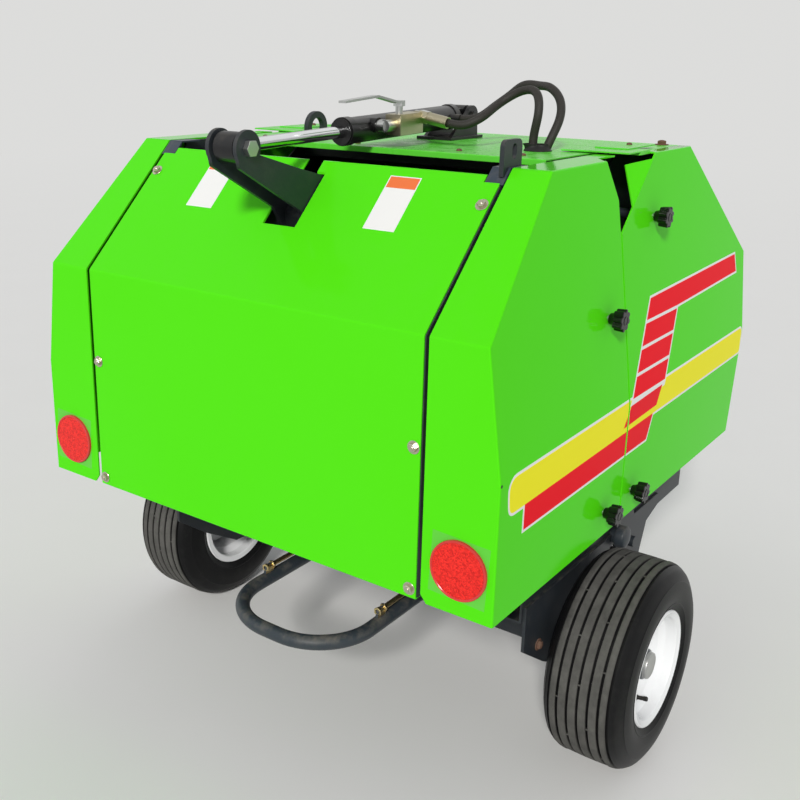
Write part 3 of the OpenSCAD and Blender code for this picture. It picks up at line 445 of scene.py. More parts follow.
def film(corners, lift, wrap, grow=0.0, limits=(), depth=0.2):
    """A sheet of film with convex corners, listed clockwise, laid lift mm above what wrap places it on.

    It is cut from a blank with spare round it, along its corners' edges moved out by grow, and at the limits."""
    xs, ys = [c[0] for c in corners], [c[1] for c in corners]
    wide, high = max(xs) - min(xs) + SPARE, max(ys) - min(ys) + SPARE
    bpy.ops.object.select_all(action="DESELECT")
    bpy.ops.mesh.primitive_plane_add(size=1, location=((max(xs) + min(xs)) / 2, (max(ys) + min(ys)) / 2, 0))
    obj = bpy.context.object
    obj.scale = (wide, high, 1)
    bpy.ops.object.transform_apply(location=True, rotation=True, scale=True)
    bpy.ops.object.mode_set(mode="EDIT")
    cuts = []
    for (ax, ay), (bx, by) in zip(corners, corners[1:] + corners[:1]):
        left = Vector((ay - by, bx - ax, 0)).normalized()
        cuts.append((Vector((ax, ay, 0)) + left * grow, left))
    for co, no in cuts + list(limits):
        bpy.ops.mesh.select_all(action="SELECT")
        bpy.ops.mesh.bisect(plane_co=co, plane_no=no, clear_outer=True)
    bpy.ops.mesh.select_all(action="SELECT")
    bpy.ops.mesh.bisect(plane_co=(0, FOLD, 0), plane_no=(0, 1, 0))
    bpy.ops.mesh.select_all(action="SELECT")
    bpy.ops.mesh.extrude_region_move(TRANSFORM_OT_translate={"value": (0, 0, -1)})
    bpy.ops.object.mode_set(mode="OBJECT")
    for v in obj.data.vertices:
        v.co = wrap(v.co.x, v.co.y, lift if v.co.z > -0.5 else lift - depth)  # the back lies at -1
    if not obj.data.polygons:
        bpy.data.objects.remove(obj)
        return None
    bpy.ops.object.mode_set(mode="EDIT")
    bpy.ops.mesh.select_all(action="SELECT")
    bpy.ops.mesh.normals_make_consistent(inside=False)
    bpy.ops.object.mode_set(mode="OBJECT")
    return obj


def joined(name, parts):
    """The parts as one object with that name."""
    bpy.ops.object.select_all(action="DESELECT")
    for obj in parts:
        obj.select_set(True)
    bpy.context.view_layer.objects.active = parts[0]
    if len(parts) > 1:
        bpy.ops.object.join()
    parts[0].name = name
    return parts[0]


def fixed_to(body, name, parts, finish, angle=32):
    """Joins the parts into one named piece, gives it its finish, and lets it ride on the body."""
    piece = joined(name, parts)
    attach(smooth(piece, finish, angle), body)
    return piece


red_film = coated("red_film", (0.95, 0.004, 0.016), 0.3, fade=0.01, dust=0.0, shine=0.02)
yellow_film = coated("yellow_film", (0.98, 0.92, 0.02), 0.3, fade=0.01, dust=0.0, shine=0.02)
white_film = coated("white_film", (0.87, 0.87, 0.85), 0.3, fade=0.01, dust=0.02)
# Colour, finish, and for each shape its corners, its height over the cover and how far it passes its corners
FILMS = (("white", white_film, [(YELLOW_BAND, 0.3, BORDER), (RED_LOW, 0.34, BORDER), (RED_TOP, 0.34, BORDER),
                                (RED_COLUMN_BACK, 0.5, BORDER)]),
         ("yellow", yellow_film, [(YELLOW_BAND, 0.42, 0)]),
         ("red", red_film, [(RED_LOW, 0.48, 0), (RED_TOP, 0.56, 0), (RED_OVER, 0.56, 0)]
          + [(c, 0.58, 0) for c in COLUMN]))
# The covers' edges at the seam, and on which side of each lies what is cut off
SEAM_EDGES = (("rear", "gate", 475.6, 1), ("front", "root", 482.4, -1))
for hand, hand_name in HANDS:
    for part, body, cut, out in SEAM_EDGES:
        seam = [(Vector((cut, 0, 0)), Vector((out, 0, 0)))]
        for colour, finish_of, shapes in FILMS:
            made = [film(c, lift, lambda a, b, l: on_cover(a, b, l, hand), grow, seam) for c, lift, grow in shapes]
            fixed_to(body, "stripe_%s_%s_%s" % (colour, part, hand_name), [m for m in made if m], finish_of)

def copies(obj, places):
    """One copy of obj with its own mesh for each (place, axis, turn); obj itself goes."""
    made = []
    for place, axis, turn_by in places:
        twin = bpy.data.objects.new(obj.name, obj.data.copy())
        bpy.context.scene.collection.objects.link(twin)
        made.append(placed(twin, place, axis, turn_by))
    bpy.data.objects.remove(obj)
    return made


# Relief holes: near-black discs set in the covers' fold stand for the holes; their black is painted shade of the
# openings
dark = new_finish("shadowed_hole", (0.01, 0.012, 0.01), 0.8)[0]
hole = [(0, -0.1), (2.6, -0.1), (2.6, 0.15), (0, 0.15)]
for x, name in ((4, "rear"), (473, "seam")):
    seats = [((x, hand * (HALF - 0.1), FOLD), (0, hand, 0), 0) for hand in (1, -1)]
    discs = copies(turned("hole", hole, 20), seats)
    fixed_to("gate", "relief_holes_" + name, discs, dark)

# Blank plates
# Two white film plates with a plain orange strip along their top edge, on the slope of the gate's skin.
SLOPE, SLOPE_FOOT = (228 / 321, 226 / 321), 924


def on_slope(a, b, lift):
    """A place on the gate's slope: a up along it from its lower fold, b to the left."""
    return spot(SLOPE[0] * a - SLOPE[1] * lift, b, SLOPE_FOOT + SLOPE[1] * a + SLOPE[0] * lift)


orange_film = coated("orange_film", (0.85, 0.17, 0.03), 0.3, fade=0.04, dust=0.05)
PLATE_FOOT, STRIP_FOOT, PLATE_TOP, EDGE = 172, 259, 284, 2
for hand_name, low, high in (("right", -233, -171), ("left", 172, 236)):
    shape = [(PLATE_FOOT, low), (PLATE_FOOT, high), (PLATE_TOP, high), (PLATE_TOP, low)]
    head = [(STRIP_FOOT, low + EDGE), (STRIP_FOOT, high - EDGE), (PLATE_TOP - EDGE, high - EDGE),
            (PLATE_TOP - EDGE, low + EDGE)]
    for kind, corners, lift, tint in (("plate", shape, 0.35, white_film), ("plate_strip", head, 0.5, orange_film)):
        fixed_to("gate", kind + "_" + hand_name, [film(corners, lift, on_slope)], tint)

# Gate bolts
# Yellow zinc hexagon bolts with washers hold the gate's skin to its two side plates.


def hex_bolt(size):
    """Hexagon head across flats size mm, on its washer, with a chamfered top; its seat is at height 0."""
    r, t = size / 2 / cos(pi / 6), size * 0.42
    washer = turned("washer", [(0, 0), (size * 0.82, 0), (size * 0.85, 0.4), (size * 0.85, 1.2), (size * 0.82, 1.6),
                               (0, 1.6)], 32)
    head = turned("head", [(0, 1.5), (r, 1.5), (r, t + 0.6), (r * 0.84, t + 1.6), (0, t + 1.6)], 6)
    end = turned("end", [(0, t + 1.5), (size * 0.3, t + 1.5), (size * 0.3, t + 2.2), (size * 0.26, t + 2.6),
                         (0, t + 2.6)], 24)
    return joined("bolt", [washer, head, end])


bolt_zinc = coated("bolt_zinc", (0.5, 0.46, 0.35), 0.26, fade=0.3, dust=0.1, metallic=1.0, depth=0.00005)
slope_out, BOLT_Y = (-SLOPE[1], 0, SLOPE[0]), 363
for hand, hand_name in HANDS:
    spots = [((0, hand * BOLT_Y, 745), (-1, 0, 0), 0.2), ((0, hand * BOLT_Y, 504), (-1, 0, 0), 0.7),
             ((173, hand * BOLT_Y, 1095.5), slope_out, 0.4)]
    fixed_to("gate", "gate_bolts_" + hand_name, copies(hex_bolt(13), spots), bolt_zinc)

# Corner flanges
# The gate's side plates end in folded flanges at the top corners, seen between the skin and the covers. The
# level part carries the lifting eye.
# The flanges get a paler, bluer slate than the side plates' own paint: painted light on these up-facing folds
lit_slate_flange = coated("lit_slate_flange", (0.03, 0.045, 0.065), 0.35, fade=0.2, dust=0.25)
TOP = 1150


def on_top(a, b, lift):
    """A place on the plane of the top sheets, a forward and b to the left."""
    return spot(a, b, TOP + lift)


for hand, hand_name in HANDS:
    low, high = sorted((hand * 348, hand * 381))
    slope_part = film([(286, low), (286, high), (321, high), (321, low)], -0.6, on_slope, depth=3)
    level_part = film([(227.5, low), (227.5, high), (278, high), (278, low)], -0.6, on_top, depth=3)
    fixed_to("gate", "corner_flange_" + hand_name, [slope_part, level_part], lit_slate_flange)

# Hose boot
# A soft black rubber boot closes the hole where both hoses enter the top sheet; its foot lies on the sheet.
FOOT = (524, -277)
ROUTE_STEPS, LAST_POINTS = 16, 40  # of each hose's line, of which only the last points are near the boot


def hoses_at(z):
    """Where the two hoses cross the height z, from the hole, in mm."""
    spots = []
    for route in (hose_a_route, hose_b_route):
        line = [((q.x * 1000 + MIDDLE) - FOOT[0], q.y * 1000 - FOOT[1], q.z * 1000)
                for q in smooth_route(route, ROUTE_STEPS)[-LAST_POINTS:]]
        spots.append(min(line, key=lambda q: abs(q[2] - z))[:2])
    return spots


boot = turned("hose_boot", [(22, 0.2), (25.4, 0.2), (26, 0.9), (25.6, 1.8), (24.6, 2.6), (24, 5), (23, 8),
                            (22, 10), (21.4, 12), (20.6, 13), (18.5, 12.5), (19, 9), (21, 3)], 56)
# Above its flange the boot closes in from round to the outline of the two hoses; its lip, inside, is folded in
FLANGE, CLOSED_AFTER, GRIP, LIP, LIP_R, LIP_FROM = 2.6, 8, 9.6, 1.1, 19.5, 8
for v in boot.data.vertices:
    r, a, h = v.co.xy.length * 1000, atan2(v.co.y, v.co.x), v.co.z * 1000
    k = max(0.0, min(1.0, (h - FLANGE) / CLOSED_AFTER))
    hull = max(x * cos(a) + y * sin(a) for x, y in hoses_at(TOP + h)) + GRIP
    if r < LIP_R and h > LIP_FROM:
        hull -= LIP
    r = (1 - k) * r + k * hull
    v.co.x, v.co.y = r / 1000 * cos(a), r / 1000 * sin(a)
boot = placed(boot, (*FOOT, TOP))
fixed_to("root", "hose_boot", [boot], rubber_plain, 50)

# Tabs and screws on the top
# Pale green tabs lie beside the front covers' slots. The plain steel screws and bolts that hold the top sheet
# and the hangers have rusted.
rust = coated("rusty_steel", (0.14, 0.055, 0.022), 0.75, fade=0.4, dust=0.3, peel=3.0, depth=0.0003, metallic=0.3)


def round_screw(size):
    """Pan head screw of that head size."""
    return turned("screw", [(0, 0), (size / 2, 0), (size / 2, size * 0.14), (size * 0.4, size * 0.3),
                            (size * 0.22, size * 0.37), (0, size * 0.38)], 28)


TAB_TOP, UP = 7.4, (0, 0, 1)
for hand, hand_name in HANDS:
    low, high = sorted((hand * 352, hand * 418))
    tab = film([(606, low), (606, high), (735, high), (735, low)], TAB_TOP, on_top, depth=2.2)
    fixed_to("root", "top_tab_" + hand_name, [tab], pale_green_dust_and_sheen)
    bolt = copies(hex_bolt(16), [((820, hand * 400, TOP), UP, 0.3)])
    fixed_to("root", "top_bolt_" + hand_name, bolt, rust)
    bolts = copies(hex_bolt(14), [((323, hand * 443, 275), (0, hand, 0), 0.6),
                                  ((745, hand * 446, 323), (0, hand, 0), 0.1)])
    fixed_to("root", "hanger_bolts_" + hand_name, bolts, rust)
screws = copies(round_screw(11), [((422, y, TOP), UP, 0) for y in (-300, -170, 60, 300)]
                + [((690, y, TOP + TAB_TOP), UP, 0) for y in (-385, 385)])
fixed_to("root", "top_screws", screws, rust)

# Frame plates, rails and axle
# Cut and folded steel plate and hollow section, welded, and sprayed in a satin slate grey. Dust gathers low down.
slate_paint = coated("slate_paint", (0.019, 0.024, 0.03), 0.36, fade=0.2, dust=0.3, depth=0.0001)
for node in ("chamber_side_left", "chamber_side_right", "gate_side_left", "gate_side_right", "gate_arm",
             "lifting_ring", "pickup_sides", "front_sheet", "pickup_bands"):
    dressed(node, slate_paint, edge=0.0008)
REAR_END, CUT_BACK = 215, 0.058  # the rails end just behind their hangers
for node in ("rail_left", "rail_right"):
    rail = dressed(node, slate_paint, fold=0.003, edge=0.0008)
    for v in rail.data.vertices:
        if v.co.x * 1000 + MIDDLE < REAR_END:
            v.co.x += CUT_BACK
for node in ("axle_beam", "front_crossbeam", "top_crossbeam", "drawbar"):
    dressed(node, slate_paint, edge=0.003)
ramp_paint = coated("ramp_bar_paint", (0.032, 0.042, 0.052), 0.38, fade=0.2, dust=0.4, depth=0.0002)
ramp = dressed("ramp_bar", ramp_paint, edge=0.0012)
# The bar's lugs are narrower and lower than the solids' lugs
LUG, LUG_REACH, NARROWED, LUG_FOOT, LUG_TOP = 183, 14, 0.62, 0.3075, 0.3235
for v in ramp.data.vertices:
    off = v.co.x * 1000 + MIDDLE - LUG
    if abs(off) < LUG_REACH and v.co.z > LUG_FOOT:
        v.co.x = (LUG + off * NARROWED - MIDDLE) / 1000
        v.co.z = min(v.co.z, LUG_TOP)
stay_zinc = coated("stay_zinc", (0.6, 0.45, 0.18), 0.3, fade=0.3, dust=0.15, metallic=1.0)
STAY_MIDDLE, STAY_OUT, STAY_Z, STAY_R, STAY_REAR, STAY_FRONT = -45, 139, 318, 5.3, 181, 369
recoloured(ramp, stay_zinc, lambda x, y, z: abs(z - STAY_Z) < STAY_R and STAY_REAR < x < STAY_FRONT
           and abs(abs(y - STAY_MIDDLE) - STAY_OUT) < STAY_R)
pivot = turned("pivot", [(0, 0), (17, 0), (17, 11), (19, 12), (22.4, 12), (23.4, 13), (23.4, 28), (21.5, 31),
                         (17, 33), (9, 34.4), (0, 35)], 48)
pivots = copies(pivot, [((659, hand * 436.8, 369), (0, hand, 0), 0) for hand in (1, -1)])
fixed_to("root", "pickup_pivot_heads", pivots, ramp_paint, 40)
nut = turned("nut", [(4.9, -3), (8, -3), (8.6, -2.4), (8.6, 2.4), (8, 3), (4.9, 3)], 6)
nuts = copies(nut, [((x, hand * STAY_OUT + STAY_MIDDLE, STAY_Z), (1, 0, 0), 0.2 * x)
                    for hand in (1, -1) for x in (175, 193)])
fixed_to("root", "stay_nuts", nuts, stay_zinc)

# Rollers
# Ribbed steel tubes, painted dark, with shafts in the side plates. Crop polishes their ribs.
roller_paint = coated("roller_paint", (0.05, 0.05, 0.055), 0.5, dust=0.3)
for node in ("frame_rollers", "gate_rollers"):
    dressed(node, roller_paint, edge=0.001)

# Lift cylinder
# A black painted barrel with a chromed rod, a pinned base between two ears on the top sheet, and a zinc
# plated valve block with a flat lever. The rod's eye is bolted between two cranked arms on the gate.
black_paint = coated("black_paint", (0.01, 0.01, 0.011), 0.25, fade=0.1, dust=0.15)
chrome = coated("chrome", (0.55, 0.56, 0.57), 0.1, dust=0.04, metallic=1.0, depth=0.00001)
zinc = coated("yellow_zinc", (0.42, 0.38, 0.25), 0.32, fade=0.3, dust=0.15, metallic=1.0, depth=0.00004)
bright_zinc = coated("bright_zinc", (0.52, 0.53, 0.52), 0.28, dust=0.15, metallic=1.0, depth=0.00004)
for node in ("cylinder_barrel", "cylinder_mount"):
    dressed(node, black_paint, edge=0.001)
rod = dressed("cylinder_rod", chrome, edge=0.001)
recoloured(rod, black_paint, lambda x, y, z: x < 34)  # the rod's eye
valve = dressed("valve_block", zinc, edge=0.0012)
# The lever, which slopes up forward above the block, and the fitting behind it
LEVER_Z, LEVER_RISE, FITTING_FRONT = 1200, 0.0314, 372
recoloured(valve, bright_zinc, lambda x, y, z: z > LEVER_Z + x * LEVER_RISE or x < FITTING_FRONT)
dressed("rod_pin", bright_zinc, edge=0.001)

# Drive
# A cast gearbox turns the drive by a six-splined stub inside a plastic cone. Roller chains run on toothed
# sprockets along the right side plate, from the gearbox to a chamber roller and on to the gate.
cast_iron = coated("cast_iron", (0.05, 0.052, 0.056), 0.55, dust=0.3, peel=3.0, depth=0.0004)
guard_plastic = coated("guard_plastic", (0.012, 0.012, 0.013), 0.45, dust=0.2)
steel = coated("oiled_steel", (0.16, 0.155, 0.15), 0.32, dust=0.2, metallic=1.0)
dressed("gearbox", cast_iron, edge=0.004, segments=3)
dressed("gearbox_guard", guard_plastic, edge=0.001)
GEAR_X, GEAR_Z, FLANGE_R, FLANGE_Y = 1075, 600, 50, 80
side_bolts = [((GEAR_X + FLANGE_R * cos(a), hand * FLANGE_Y, GEAR_Z + FLANGE_R * sin(a)), (0, hand, 0), a)
              for hand in (1, -1) for a in [radians(45 + 90 * k) for k in range(4)]]
fixed_to("root", "gearbox_bolts", copies(hex_bolt(10), side_bolts), bright_zinc)
plug = copies(hex_bolt(17), [((1050, 0, 680), UP, 0.2)])
fixed_to("root", "gearbox_plug", plug, bright_zinc)

SPLINES, SPLINE_TOP, SPLINE_FOOT, SPLINES_FROM = 6, 17.4, 14.6, 53.5
stub = turned("drive_stub_splined", [(0, 0), (19.5, 0), (20, 0.5), (20, 52), (SPLINE_TOP, 53), (SPLINE_TOP, 66),
                                     (15.5, 67), (15.5, 73), (SPLINE_TOP, 74), (SPLINE_TOP, 127), (15.8, 129),
                                     (0, 129)], 72)
for v in stub.data.vertices:
    r, a, h = v.co.xy.length * 1000, atan2(v.co.y, v.co.x), v.co.z * 1000
    if h > SPLINES_FROM and r > 14:
        r = min(r, SPLINE_TOP if cos(SPLINES * a) > -0.1 else SPLINE_FOOT)
    v.co.x, v.co.y = r / 1000 * cos(a), r / 1000 * sin(a)
stub = placed(stub, (1111, 0, GEAR_Z), (1, 0, 0))
fixed_to("drive_stub", "drive_stub_splined", [stub], steel, 25)
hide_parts("pto_shaft")

PITCH, CHAIN_Y, ARC_STEPS = 15.875, -407.5, 60
# Forward, up and pitch radius of the sprockets: on the gate's hinge, on a roller's shaft, and on the gearbox
SPROCKETS = [(488, 1020, 52), (490 + 294 * cos(radians(40)), 710 + 294 * sin(radians(40)), 52),
             (GEAR_X, GEAR_Z, 40)]


def loop_points(a, b, count):
    """Points evenly spaced along the chain round two sprockets, and the chain's length."""
    ax, az, ar, bx, bz, br = *a, *b
    far = sqrt((bx - ax) ** 2 + (bz - az) ** 2)
    line, lean = atan2(bz - az, bx - ax), acos((ar - br) / far)
    path = []
    for (x, z, r), start, end in ((a, line + lean, line + 2 * pi - lean), (b, line - lean, line + lean)):
        angles = [start + (end - start) * i / ARC_STEPS for i in range(ARC_STEPS + 1)]
        path += [(x + r * cos(angle), z + r * sin(angle)) for angle in angles]
    path.append(path[0])
    gaps = [sqrt((q[0] - p[0]) ** 2 + (q[1] - p[1]) ** 2) for p, q in zip(path, path[1:])]
    whole, out = sum(gaps), []
    for k in range(count):
        want, i = whole * k / count, 0
        while want > gaps[i]:
            want -= gaps[i]
            i += 1
        (px, pz), (qx, qz) = path[i], path[i + 1]
        t = want / gaps[i]
        out.append((px + (qx - px) * t, pz + (qz - pz) * t))
    return out, whole


PLATE_R, PLATE_THICK, WAIST = 6.6, 1.3, 0.75


def link(wide):
    """Two waisted side plates of a chain link, one pitch long, lying along X with Z across the chain."""
    plates = []
    for z in (wide, -wide):
        bpy.ops.object.select_all(action="DESELECT")
        bpy.ops.mesh.primitive_cylinder_add(vertices=16, radius=1, depth=PLATE_THICK / 1000,
                                            location=(0, 0, z / 1000))
        plate = bpy.context.object
        bpy.ops.object.transform_apply(location=True, rotation=True, scale=True)
        for v in plate.data.vertices:
            a = atan2(v.co.y, v.co.x)
            c = cos(a)
            v.co.x = (PITCH / 2 * (1 if c > 0.01 else -1 if c < -0.01 else 0) + PLATE_R * c) / 1000
            v.co.y = PLATE_R * sin(a) * (1 if abs(c) > 0.01 else WAIST) / 1000
        plates.append(plate)
    return joined("link", plates)


def on_chain(obj, x, z, tilt=0.0):
    """Stands obj's mesh, made with Z across the chain, at a place of the chain's plane, tilted along the chain."""
    obj.data.transform(Matrix.Translation(spot(x, CHAIN_Y, z)) @ Matrix.Rotation(-tilt, 4, "Y")
                       @ Matrix.Rotation(pi / 2, 4, "X"))
    return obj


chain_parts = []
outer, inner = link(4.6), link(3.1)
roll = turned("roll", [(0, -3), (4.9, -3), (4.9, 3), (2.6, 3.2), (2.6, 5.6), (0, 5.6)], 12)
for a, b in zip(SPROCKETS, SPROCKETS[1:]):
    count = 2 * round(loop_points(a, b, 1)[1] / PITCH / 2)
    spots, _ = loop_points(a, b, count)
    for k, (x, z) in enumerate(spots):
        nx, nz = spots[(k + 1) % count]
        twin = bpy.data.objects.new("link", (outer if k % 2 else inner).data.copy())
        pin = bpy.data.objects.new("roll", roll.data.copy())
        for obj in (on_chain(twin, (x + nx) / 2, (z + nz) / 2, atan2(nz - z, nx - x)), on_chain(pin, x, z)):
            bpy.context.scene.collection.objects.link(obj)
            chain_parts.append(obj)
for obj in (outer, inner, roll):
    bpy.data.objects.remove(obj)
TOOTH_FOOT, TOOTH = 3.4, 7.6  # from the pitch circle inwards to the tooth's foot, and from there to its tip
for x, z, r in SPROCKETS:
    teeth = round(2 * pi * r / PITCH)
    disc = turned("sprocket", [(16, -3.4), (24, -3.4), (25, -2.6), (r + 5, -2.2), (r + 5, 2.2), (25, 2.6), (24, 7),
                               (16, 7)], teeth * 6)
    for v in disc.data.vertices:
        reach, a = v.co.xy.length * 1000, atan2(v.co.y, v.co.x)
        if reach > r:
            reach = r - TOOTH_FOOT + TOOTH * max(0.0, 0.5 + 0.5 * cos(teeth * a)) ** 0.7
            v.co.x, v.co.y = reach / 1000 * cos(a), reach / 1000 * sin(a)
    inward = 30 if x > 489 else 12  # the hub at the gate's hinge is shorter
    hub = turned("sprocket_hub", [(0, -4), (15, -4), (16, -3), (16, inward), (0, inward)], 32)
    hub.data.transform(Matrix.Rotation(pi, 4, "X"))
    chain_parts += [on_chain(disc, x, z), on_chain(hub, x, z)]
chains = fixed_to("root", "drive_chain_links", chain_parts, steel)
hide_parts("drive_chains")

# Pick-up reel
# Spring steel tines wound in small coils round four tine bars, on discs and a centre tube.
reel_paint = coated("reel_paint", (0.1, 0.1, 0.105), 0.4, dust=0.3, metallic=0.5)
dressed("pickup_reel", reel_paint, edge=0.0006)

# Jack
# A zinc plated leg with a round foot slides in a painted tube that is clamped to the tongue.
dressed("jack_tube", slate_paint, edge=0.001)
dressed("jack_leg", bright_zinc, edge=0.001)

# Wheels
# Ribbed implement tyres, 406 mm across, on dished white steel rims that turn on stub axles. The tread's five
# grooves are bridged by thin tie bars. Each rim has a grey hub with a pressed cap and a rubber valve stem.
AXLE = (495, 540, 203)
TREAD, TREAD_HALF = 203, 46
GROOVES, GROOVE_DEPTH = (-40, -20, 0, 20, 40), 7.5
rubber_side = coated("tyre_rubber", (0.009, 0.009, 0.009), 0.5, fade=0.2, dust=0.1, peel=2.0, depth=0.0002)


def crown(y):
    """The tread's radius at y mm from its middle."""
    return TREAD - 0.4 - 1.4 * (y / TREAD_HALF) ** 2


# Outlines are (radius, distance out from the wheel's middle): of the shoulder and side wall, the tyre's inside,
# and the tread with its grooves, which make the tyre's ring, and then of the rim, hub, cap and valve stem
half = [(202.4, 45), (201.4, 52), (200.4, 54.6), (194.8, 55.4), (194.8, 58.8), (198, 59.6), (194.9, 64),
        (192.8, 65.6), (192.4, 67.2), (189, 70), (182, 74.3), (173, 77.8), (172, 79.2), (169.5, 79.8), (160, 81.6),
        (150, 82.4), (140, 81.6), (131, 79.4), (129.8, 80.1), (127.5, 79.6), (126.6, 78), (119, 74), (115.4, 71),
        (111, 68.4), (103.2, 66.6)]
hollow = [(101.2, 56), (124, 58), (163, 68), (180, 56), (187, 0)]
tread = []
for g in GROOVES:
    lip, foot = crown(g) - 0.7, crown(g) - GROOVE_DEPTH
    tread += [(crown(g - 3), g - 3), (lip, g - 2.6), (foot, g - 2.2), (foot, g + 2.2), (lip, g + 2.6),
              (crown(g + 3), g + 3)]
ring = ([(r, -y) for r, y in reversed(half)] + tread + half + hollow
        + [(r, -y) for r, y in reversed(hollow[:-1])])
rim_profile = [(99, -74), (101.5, -76), (113, -76), (115, -73.5), (114, -70.5), (106, -69), (102.8, -66),
               (102.8, -49), (91, -38), (91, 38), (102.8, 49), (102.8, 66), (106, 69), (114, 70.5), (115.4, 73),
               (113.5, 75.5), (110.5, 75.8), (107.5, 73.8), (101.5, 71.5), (99.2, 68), (98.8, 51.5), (97.6, 49.6),
               (88.4, 41), (87, 38.4), (82.5, 8), (80.5, 3.5), (76, 1.2), (60, 0), (50, -3), (40, -4), (33, -3.5),
               (30.6, -1), (30.6, -14), (40, -8), (52, -7.5), (75, -4), (81, -2), (84, 5), (87, 12), (87, -38.4),
               (97.6, -49.6), (98.8, -51.5), (98.8, -66)]
hub_profile = [(15.4, -60), (29, -60), (30, -58.5), (30, 48), (29, 50.5), (25.5, 52), (25.5, 54), (15.4, 54)]
cap_profile = [(0, 52), (26.2, 52), (26.2, 57), (25.6, 59), (24, 60), (21.5, 60.2), (20, 59.6), (0, 59.6)]
valve_profile = [(0, 0), (7.5, 0), (7.5, 2.5), (5.6, 5), (5.2, 18), (4, 20), (3.9, 31), (4.6, 31.5), (4.6, 38),
                 (3.9, 39), (0, 39)]
# The hub's dark grey against its pale cap is partly darker steel, partly painted shade on the hub's side
hub_grey = coated("hub_grey", (0.1, 0.11, 0.125), 0.35, dust=0.2, metallic=0.4)
cap_grey = coated("cap_grey", (0.46, 0.46, 0.45), 0.3, dust=0.2, metallic=0.8, depth=0.00005)


def vector_maths(tree, operation, a, b=(0, 0, 0)):
    """A new vector node: the operation on a and b."""
    node = tree.nodes.new("ShaderNodeVectorMath")
    node.operation = operation
    feed(tree, node.inputs[0], a)
    feed(tree, node.inputs[1], b)
    return node


# The rubber is greyed by dust on the ribs of the tread and stays black in the grooves and on the walls
tyre_rubber, tree, shader, coords = new_finish("tread_rubber", (0.02, 0.02, 0.02), 0.6)
shader.inputs["Specular IOR Level"].default_value = 0.16
centred = vector_maths(tree, "SUBTRACT", coords, spot(AXLE[0], 0, AXLE[2]))
flat = vector_maths(tree, "MULTIPLY", centred.outputs[0], (1, 0, 1))
reach = vector_maths(tree, "LENGTH", flat.outputs[0])
worn = wired(tree, "ShaderNodeMapRange", Value=reach.outputs["Value"], From_Min=0.1975, From_Max=0.2015)
specks = wired(tree, "ShaderNodeTexNoise", Vector=coords, Scale=30.0, Detail=8.0, Roughness=0.7)
grit = wired(tree, "ShaderNodeMapRange", Value=specks.outputs["Fac"], From_Min=0.3, From_Max=0.7, To_Min=0.45,
             To_Max=0.95)
dusted = maths(tree, "MULTIPLY", worn.outputs[0], grit.outputs[0])
haze = wired(tree, "ShaderNodeMapRange", Value=specks.outputs["Fac"], From_Min=0.5, From_Max=0.85, To_Min=0.0,
             To_Max=0.1)
amount = maths(tree, "MAXIMUM", dusted, haze.outputs[0])
BLACK, DUSTY = (0.006, 0.006, 0.0065, 1), (0.125, 0.122, 0.112, 1)
tree.links.new(blended(tree, amount, BLACK, DUSTY), shader.inputs["Base Color"])
tone = wired(tree, "ShaderNodeMapRange", Value=amount, To_Min=0.42, To_Max=0.9)
tree.links.new(tone.outputs[0], shader.inputs["Roughness"])
fine = wired(tree, "ShaderNodeTexNoise", Vector=coords, Scale=600.0, Detail=3.0)
bump = wired(tree, "ShaderNodeBump", Strength=0.5, Distance=0.0002, Height=fine.outputs["Fac"])
tree.links.new(bump.outputs["Normal"], shader.inputs["Normal"])

white_paint = coated("white_paint", (0.9, 0.91, 0.92), 0.22, fade=0.02, dust=0.06)
BAR_SIZE, BAR_DEPTH, BARS, BAR_SHIFT = (0.0064, 0.0030, 0.0052), 4.4, 6, 0.43
bpy.ops.object.select_all(action="DESELECT")
bpy.ops.mesh.primitive_cube_add(size=1)
bar = bpy.context.object
bar.scale = BAR_SIZE
bpy.ops.object.transform_apply(location=False, rotation=False, scale=True)
bpy.ops.object.mode_set(mode="EDIT")
bpy.ops.mesh.bevel(offset=0.0006, segments=2)
bpy.ops.object.mode_set(mode="OBJECT")
STEM_R, STEM_OUT, STEM_ANGLE, STEM_LEAN = 83, 21, radians(272), 0.2
for hand, hand_name in HANDS:
    body = "wheel_" + hand_name
    hub_place, out_axis = (AXLE[0], hand * AXLE[1], AXLE[2]), (0, hand, 0)
    tyre = turned("tyre_%s_rubber" % hand_name, ring, 128)
    bars = []
    for k, g in enumerate(GROOVES):
        for m in range(BARS):
            twin = bpy.data.objects.new("bar", bar.data.copy())
            bpy.context.scene.collection.objects.link(twin)
            twin.data.transform(Matrix.Rotation(2 * pi * m / BARS + BAR_SHIFT * k, 4, "Z")
                                @ Matrix.Translation(((crown(g) - BAR_DEPTH) / 1000, 0, g / 1000)))
            bars.append(twin)
    tyre = placed(joined("tyre_%s_rubber" % hand_name, [tyre] + bars), hub_place, out_axis)
    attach(smooth(tyre, tyre_rubber, 40), body)
    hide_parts("tyre_" + hand_name)
    for name, profile, steps, finish_of, slot in (("rim_%s_white", rim_profile, 96, white_paint, "white_paint"),
                                                  ("hub_%s", hub_profile, 64, hub_grey, "steel"),
                                                  ("hub_cap_%s", cap_profile, 64, cap_grey, "steel")):
        piece = placed(turned(name % hand_name, profile, steps), hub_place, out_axis)
        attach(smooth(piece, finish_of), body)
        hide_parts("rim_" + hand_name)
    down_x, down_z = cos(STEM_ANGLE), sin(STEM_ANGLE)
    valve = turned("valve_stem_" + hand_name, valve_profile, 32)
    valve = placed(valve, (AXLE[0] + STEM_R * down_x, hand * (AXLE[1] + STEM_OUT), AXLE[2] + STEM_R * down_z),
                   (-STEM_LEAN * down_x, hand * 0.97, -STEM_LEAN * down_z))
    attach(smooth(valve, rubber_side), body)
bpy.data.objects.remove(bar)

